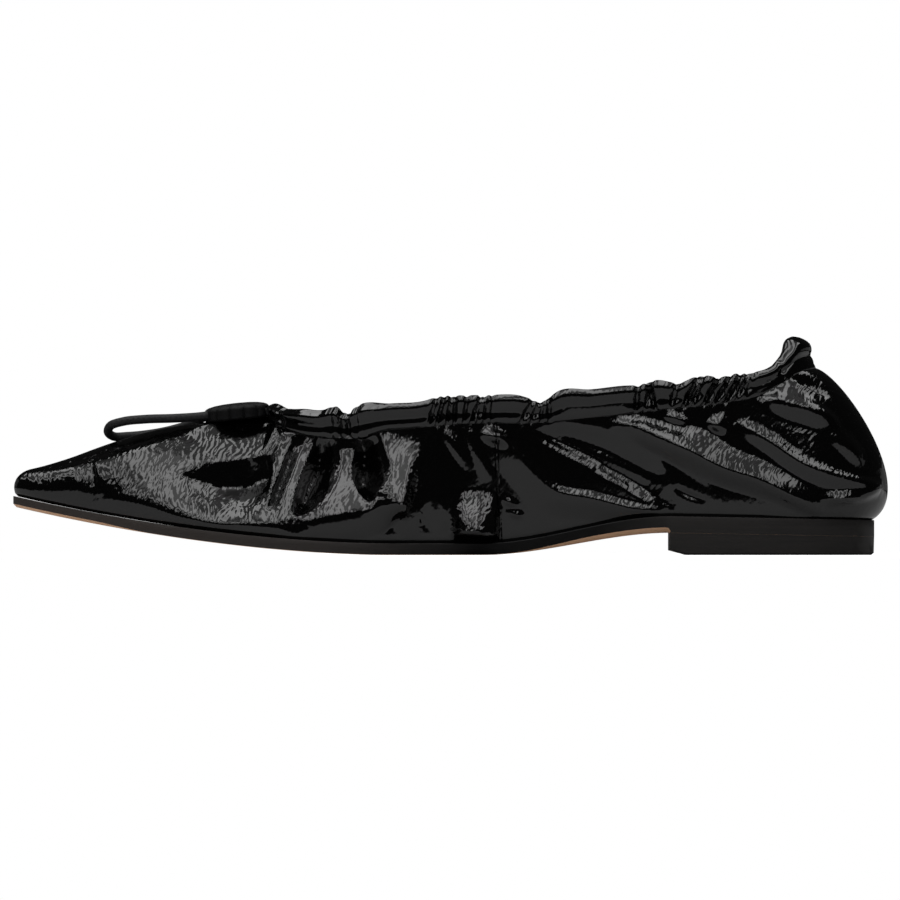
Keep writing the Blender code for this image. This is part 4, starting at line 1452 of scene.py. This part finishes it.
@dataclass(frozen=True)
class Sole:
    """The sole, the heel block and the sock lining."""

    rungs: int = 320
    across: int = 10
    lip: float = 1.0
    wall: float = 1.7
    sock_thick: float = 2.0

    def slab(
        self,
        piece: Piece,
        edge: Callable[[np.ndarray], tuple],
        low: Callable[[np.ndarray], np.ndarray],
        high: Callable[[np.ndarray], np.ndarray],
        finishes: list,
    ) -> bpy.types.Object:
        """A slab with the sole's outline whose edge follows a profile.

        Args:
            piece: the piece's names.
            edge: function of station that gives the profile from the underside to the top, as insets and
                as shares of the thickness, with one row for each station.
            low: function of station that gives the underside's height.
            high: function of station that gives the top's height.
            finishes: materials of the underside with the first step of the edge, of the edge and of
                the top.
        Returns:
            The slab's object.
        """
        rails = {}
        for side in Side:
            line = half_outline(SOLE_OUTLINE, side, self.rungs)
            inset, share = edge(line[:, 0])
            spot = line[:, None] - inset[..., None] * outward(line, side)[:, None]
            bottom, top = low(spot[..., 0]), high(spot[..., 0])
            rails[side] = np.concatenate([spot, (bottom + (top - bottom) * share)[..., None]], axis=-1)
        left, right = rails[Side.LATERAL], rails[Side.MEDIAL]
        share = np.linspace(0.0, 1.0, self.across + 2)[None, :, None]
        under = right[:, None, 0] * (1.0 - share) + left[:, None, 0] * share
        over = left[:, None, -1] * (1.0 - share) + right[:, None, -1] * share
        grids = (
            (0, under),
            (0, left[:, :2]),
            (1, left[:, 1:]),
            (2, over),
            (1, right[:, :0:-1]),
            (0, right[:, 1::-1]),
        )
        blocks = []
        for number, grid in grids:
            faces = sheet_faces(grid.shape[0], grid.shape[1], False)
            blocks.append(MeshBlock(LAST.place(grid.reshape(-1, 3)), faces, number))
        return piece.make(blocks, finishes)

    def outsole_edge(self, station: np.ndarray) -> tuple[np.ndarray, np.ndarray]:
        """The outsole's edge: upright, over a bevel that is wide at the waist and narrow elsewhere.

        Soft steps of the station tell the waist, the toe and the stretch ahead of the heel. Behind the ball
        the edge rolls under towards its foot.

        Args:
            station: stations to read.
        Returns:
            Insets and shares of the thickness for each station, from the underside to the top.
        """
        waist = ease((118.0 - station) / 30.0) * ease((station - 65.6) / 1.0)
        toe = ease((station - 222.0) / 20.0)
        free = ease((station - 66.0) / 2.0)
        wide = 0.01 + 0.09 * free + 3.4 * waist + 0.9 * toe
        tall = 0.002 + 0.028 * free + 0.3 * waist + 0.23 * toe
        ones = np.ones_like(station)
        roll = ease((165.0 - station) / 25.0) * free
        insets = np.stack([wide + 0.8 * roll, 0.8 * roll, 0.3 * roll, 0.0 * ones, 0.12 * ones], axis=1)
        shares = np.stack([0.0 * ones, tall, 0.5 + 0.5 * tall, 0.95 * ones, ones], axis=1)
        return insets, shares

    def build_outsole(self, tan: bpy.types.Material, edge: bpy.types.Material) -> bpy.types.Object:
        """The outsole: tan underside and bevel, black upright edge.

        Args:
            tan: material of the underside and the bevel.
            edge: material of the edge and the upper face.
        Returns:
            The outsole's object.
        """
        return self.slab(
            Piece("outsole_leather", "outsole", "sole"),
            self.outsole_edge,
            LAST.sole_bottom,
            LAST.sole_top,
            [tan, edge, edge],
        )

    def build_insole(self, lining: bpy.types.Material) -> bpy.types.Object:
        """The sock lining: a sheet of even thickness with a soft rounded edge, inside the upper's wall.

        Args:
            lining: its material.
        Returns:
            The sock lining's object.
        """
        start = self.lip + self.wall + 0.5
        inset = np.array([start + 0.3, start, start, start + 0.25, start + 0.7])
        share = np.array([0.0, 0.25, 0.75, 0.95, 1.0])
        return self.slab(
            Piece("sock_lining", "insole", "lining"),
            lambda station: (np.tile(inset, (len(station), 1)), np.tile(share, (len(station), 1))),
            lambda station: LAST.sole_top(station) + LAST.gap,
            lambda station: LAST.sole_top(station) + LAST.gap + self.sock_thick,
            [lining, lining, lining],
        )

    def rear_part(self, line: np.ndarray, count: int) -> np.ndarray:
        """The part of an outline behind the heel's breast, from the breast to the back.

        Args:
            line: station and side distance of the outline's points, front to back.
            count: how many points the part has.
        Returns:
            The part's points, evenly spaced.
        """
        behind = line[line[:, 0] < LAST.heel_breast - 0.4]
        side = np.interp(LAST.heel_breast, line[::-1, 0], line[::-1, 1])
        return evenly(np.concatenate([[[LAST.heel_breast, side]], behind]), count)

    def build_heel(self, tan: bpy.types.Material, edge: bpy.types.Material) -> bpy.types.Object:
        """The heel block: a flat breast and the sole's outline behind it, with a small bevel at the floor.

        Each level is an inset of the outline at a share of the height between the floor and the sole.

        Args:
            tan: material of the underside.
            edge: material of the other faces.
        Returns:
            The heel's object.
        """
        count = 120
        rails = {}
        levels = ((0.9, 0.0), (0.15, 0.1), (0.08, 0.5), (0.02, 0.98), (0.02, 1.0))
        for side in Side:
            lines = [self.rear_part(LAST.inset_side(side, inset, 400), count) for inset, _ in levels]
            grids = []
            for line, (_, share) in zip(lines, levels):
                low, high = LAST.heel_bottom(line[:, 0]), LAST.sole_bottom(line[:, 0]) + 3.0 * LAST.tuck
                grids.append(np.column_stack([line, low + (high - low) * share]))
            rails[side] = np.stack(grids, axis=1)
        left, right = rails[Side.LATERAL], rails[Side.MEDIAL]
        share = np.linspace(0.0, 1.0, self.across + 2)[None, :, None]
        under = right[:, None, 0] * (1.0 - share) + left[:, None, 0] * share
        over = left[:, None, -1] * (1.0 - share) + right[:, None, -1] * share
        breast = left[0][None] * (1.0 - share[0][:, None]) + right[0][None] * share[0][:, None]
        blocks = []
        for number, grid in ((0, under), (1, left), (1, over), (1, right[:, ::-1]), (1, breast)):
            faces = sheet_faces(grid.shape[0], grid.shape[1], False)
            blocks.append(MeshBlock(LAST.place(grid.reshape(-1, 3)), faces, number))
        return Piece("heel_block", "heel", "heel").make(blocks, [tan, edge])


@dataclass(frozen=True)
class Toggle:
    """The scalloped cord stop and the drawcord that runs through it."""

    radius: float = 9.9
    flute: float = 0.9
    lobes: int = 12
    height: float = 5.2
    station: float = 196.7
    base: float = 40.9
    tilt: float = math.radians(-6.0)
    bore: float = 3.1
    bore_side: float = 2.9
    bore_depth: float = 2.2
    cord_diameter: float = 2.7

    def build_cord(self, braid: bpy.types.Material) -> bpy.types.Object:
        """The drawcord: a round section carried along its route, which starts and ends in the casing.

        Its map holds the turn round the section and the distance along the cord.

        Args:
            braid: its material.
        Returns:
            The cord's object.
        """
        fine = line_through(np.array(CORD_ROUTE, float), 160)
        path = LAST.place(fine)
        heading = unit(np.gradient(path, axis=0))
        side = unit(np.cross(heading, np.array([0.0, 0.0, 1.0])))
        over = np.cross(side, heading)
        turn = np.linspace(0.0, 2.0 * math.pi, 24, endpoint=False)
        radius = self.cord_diameter / 2 * MM
        ring = side[:, None] * np.cos(turn)[None, :, None] + over[:, None] * np.sin(turn)[None, :, None]
        points = path[:, None] + radius * ring
        count = len(turn)
        here = np.arange(len(path) - 1)[:, None] * count
        spot = np.arange(count)[None, :]
        after = (spot + 1) % count
        ends = [here + spot, here + after, here + count + after, here + count + spot]
        faces = np.stack(ends, axis=-1).reshape(-1, 4)
        block = MeshBlock(points.reshape(-1, 3), faces, 0)
        made = Piece("elastic_drawcord", "drawcord", "cord").make([block], [braid], merge=False)
        along = np.repeat(distance_along(path), count)
        turns = np.tile(turn / (2.0 * math.pi), len(path))
        corners = np.empty(len(made.data.loops), np.int32)
        made.data.loops.foreach_get("vertex_index", corners)
        store = made.data.uv_layers.new(name="cord_map")
        across = turns[corners].reshape(-1, 4)
        wraps = (np.ptp(across, axis=1) > 0.5)[:, None] & (across < 0.5)
        across = np.where(wraps, across + 1.0, across)
        flat = np.stack([across.ravel(), along[corners]], axis=1)
        store.data.foreach_set("uv", flat.astype(np.float32).ravel())
        self.close_ends(made)
        return made

    def close_ends(self, made: bpy.types.Object) -> None:
        """Closes the cord's two ends with a flat face each and turns all faces outward.

        Args:
            made: the cord's object.
        """
        work = bmesh.new()
        work.from_mesh(made.data)
        bmesh.ops.holes_fill(work, edges=[edge for edge in work.edges if edge.is_boundary], sides=0)
        bmesh.ops.recalc_face_normals(work, faces=work.faces)
        work.to_mesh(made.data)
        work.free()
        made.data.update()

    def build_stop(self, rubber: bpy.types.Material) -> bpy.types.Object:
        """The stop: a round profile whose rim is fluted, with a hollow where each cord goes in.

        The rim's radius is the stop's radius less a flute at each lobe's edge; a point near a bore's
        mouth is drawn in by a soft step of its distance from the bore's middle.

        Args:
            rubber: its material.
        Returns:
            The stop's object.
        """
        steps = self.lobes * 24
        turn = np.arange(steps) * 2.0 * math.pi / steps
        rim = self.radius - self.flute * (1.0 - np.abs(np.cos(turn * self.lobes / 2))) ** 1.5
        crown = self.height - np.array([1.75, 1.3, 1.0, 0.72, 0.34, 0.1, 0.0])
        rise = np.concatenate([[0.0, 0.0, 0.08, 0.3], np.linspace(0.6, self.height - 2.2, 22), crown])
        inset = np.concatenate([[9.0, 1.2, 0.6, 0.2], np.zeros(22), [0.1, 0.42, 0.9, 1.6, 3.4, 5.8, 9.0]])
        reach = np.maximum(rim[:, None] - inset[None, :], 0.3)
        across = reach * np.sin(turn)[:, None]
        along = reach * np.cos(turn)[:, None]
        middle = self.height / 2 - 0.3
        medial = np.hypot(across - self.bore_side, rise - middle)
        lateral = np.hypot(across + self.bore_side, rise - middle)
        beyond = np.minimum(medial, lateral) - (self.bore / 2 - 0.4)
        along = along - np.sign(along) * self.bore_depth * (1.0 - ease(beyond / 0.55)) * (inset < 0.1)
        lifted = np.broadcast_to(rise, along.shape)
        back = -along * math.cos(self.tilt) + lifted * math.sin(self.tilt)
        high = along * math.sin(self.tilt) + lifted * math.cos(self.tilt)
        points = LAST.to_place(self.station - back, across, self.base + high)
        grid = points.reshape(-1, 3)
        faces = sheet_faces(steps, len(rise), True)
        return Piece("cord_stop_rubber", "cord_stop", "stop").make([MeshBlock(grid, faces, 0)], [rubber])


@dataclass(frozen=True)
class Studio:
    """Camera, lights and floor, in metres; the lens is in millimetres."""

    distance: float = 5.0
    camera_height: float = 0.006
    aim_height: float = 0.0318
    lens: float = 660.0
    strips: int = 5
    first_strip: float = -1.04
    strip_step: float = 0.4
    floor_half: float = 0.55

    def build_camera(self) -> bpy.types.Object:
        """A long lens near floor level that looks square at the outer side.

        Returns:
            The camera's object.
        """
        camera = bpy.data.objects.new("camera", bpy.data.cameras.new("camera"))
        camera.data.lens = self.lens
        camera.data.sensor_width = 36.0
        camera.location = (0.0, -self.distance, self.camera_height)
        view = Vector((0.0, 0.0, self.aim_height)) - camera.location
        camera.rotation_euler = view.to_track_quat("-Z", "Y").to_euler()
        bpy.context.scene.collection.objects.link(camera)
        bpy.context.scene.camera = camera
        return camera

    def add_panel(
        self, name: str, place: tuple, aim: tuple, size: tuple, watts: float, shiny: bool
    ) -> bpy.types.Object:
        """One soft light panel.

        Args:
            name: the light's name.
            place: where it hangs.
            aim: the point it faces.
            size: its two sides.
            watts: its power.
            shiny: whether glossy surfaces mirror it.
        Returns:
            The light's object.
        """
        lamp = bpy.data.lights.new(name, "AREA")
        lamp.shape = "RECTANGLE"
        lamp.size, lamp.size_y = size
        lamp.energy = watts
        panel = bpy.data.objects.new(name, lamp)
        panel.location = place
        panel.rotation_euler = (Vector(aim) - Vector(place)).to_track_quat("-Z", "Y").to_euler()
        panel.visible_glossy = shiny
        panel.visible_camera = False
        bpy.context.scene.collection.objects.link(panel)
        return panel

    def build_lights(self) -> None:
        """The panels and the world.

        A wide soft panel hangs overhead with brighter strips, a middle and a core, which the patent leather
        mirrors. A low card behind each end lights the toe's and the heel's outline, and a soft front panel
        that isn't mirrored lights the matte pieces. The world is white to the camera and dim otherwise.
        """
        self.add_panel("overhead", (-0.2, -0.26, 0.8), (-0.2, -0.26, 0.0), (1.7, 1.68), 1.2, True)
        for number in range(self.strips):
            back = self.first_strip + self.strip_step * number
            place, aim = (back, -0.24, 0.79), (back, -0.24, 0.0)
            self.add_panel(f"overhead_strip_{number}", place, aim, (0.18, 1.68), 1.8, True)
        self.add_panel("overhead_middle", (-0.2, -0.3, 0.78), (-0.2, -0.3, 0.0), (1.3, 1.2), 0.9, True)
        self.add_panel("overhead_core", (-0.06, -0.36, 0.76), (-0.06, -0.36, 0.0), (0.7, 0.6), 0.8, True)
        self.add_panel("toe_card", (-1.0, 0.95, 0.3), (0.0, 0.0, 0.02), (1.2, 0.5), 0.25, True)
        self.add_panel("heel_card", (1.0, 0.95, 0.1), (0.0, 0.0, 0.02), (1.2, 0.2), 0.09, True)
        self.add_panel("front_fill", (0.0, -1.5, 0.5), (0.0, 0.0, 0.03), (1.6, 0.8), 5.0, False)
        world = bpy.data.worlds.new("studio")
        world.use_nodes = True
        bpy.context.scene.world = world
        graph = Graph(world.node_tree)
        ground = world.node_tree.nodes["Background"]
        seen = graph.node("ShaderNodeLightPath").outputs["Is Camera Ray"]
        graph.tree.links.new(graph.spread(seen, 0.0, 1.0, 0.012, 1.0), ground.inputs["Strength"])
        ground.inputs["Color"].default_value = (1.0, 1.0, 1.0, 1.0)
        bpy.context.scene.view_settings.view_transform = "Standard"

    def build_floor(self) -> bpy.types.Object:
        """A plain pale floor that shows white to the camera and is dim in reflections.

        Its underside is clear, so that the sole can be seen from below.

        Returns:
            The floor's object.
        """
        mesh = bpy.data.meshes.new("floor")
        half = self.floor_half
        corners = [(-half, -half, 0.0), (half, -half, 0.0), (half, half, 0.0), (-half, half, 0.0)]
        mesh.from_pydata(corners, [], [(0, 1, 2, 3)])
        material = bpy.data.materials.new("pale_floor")
        material.use_nodes = True
        graph = Graph(material.node_tree)
        shader = material.node_tree.nodes["Principled BSDF"]
        seen = graph.node("ShaderNodeLightPath").outputs["Is Camera Ray"]
        pale = graph.tint(seen, (0.48, 0.48, 0.48), (0.8, 0.8, 0.8))
        glow = graph.tint(seen, (0.0, 0.0, 0.0), (1.0, 1.0, 1.0))
        graph.tree.links.new(pale, shader.inputs["Base Color"])
        graph.tree.links.new(glow, shader.inputs["Emission Color"])
        shader.inputs["Roughness"].default_value = 0.9
        shader.inputs["Emission Strength"].default_value = 0.75
        behind = graph.node("ShaderNodeNewGeometry").outputs["Backfacing"]
        graph.tree.links.new(graph.math("SUBTRACT", 1.0, behind), shader.inputs["Alpha"])
        mesh.materials.append(material)
        floor = bpy.data.objects.new("floor", mesh)
        bpy.context.scene.collection.objects.link(floor)
        return floor


def main() -> None:
    """Builds the camera, the cord and its stop, then the upper, the sole, the lights and the floor."""
    logging.basicConfig(level=logging.INFO, format="%(name)s %(message)s")
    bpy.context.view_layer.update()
    crinkle, streaks, grain = crinkle_group(), streak_group(), leather_group()
    black = (0.001, 0.001, 0.001)
    patent_wall = PatentFinish("patent_wall", black, 0.09, crinkle, seam=True).material()
    patent_casing = PatentFinish("patent_casing", black, 0.09, crinkle, depth=0.00008).material()
    lining = MatteFinish("lining_leather", (0.02, 0.019, 0.018), 0.6, grain).material()
    tan = MatteFinish("tan_leather", (0.93, 0.57, 0.352), 0.6, grain, change=0.07).material()
    edge = EdgeFinish("painted_edge", (0.0142, 0.0141, 0.014), 0.45, streaks).material()
    rubber = MatteFinish(
        "stop_rubber", (0.0032, 0.0032, 0.0034), 0.6, grain, change=0.15, depth=0.00003, gloss=0.2
    ).material()
    braid = CordFinish("braided_elastic", (0.0035, 0.0035, 0.004), 0.65).material()
    studio, upper, sole, toggle = Studio(), Upper(), Sole(), Toggle()
    studio.build_camera()
    toggle.build_cord(braid)
    toggle.build_stop(rubber)
    upper.build_wall(patent_wall, lining)
    upper.build_casing(patent_casing)
    sole.build_outsole(tan, edge)
    sole.build_heel(tan, edge)
    sole.build_insole(lining)
    studio.build_lights()
    studio.build_floor()


if __name__ == "__main__":
    main()
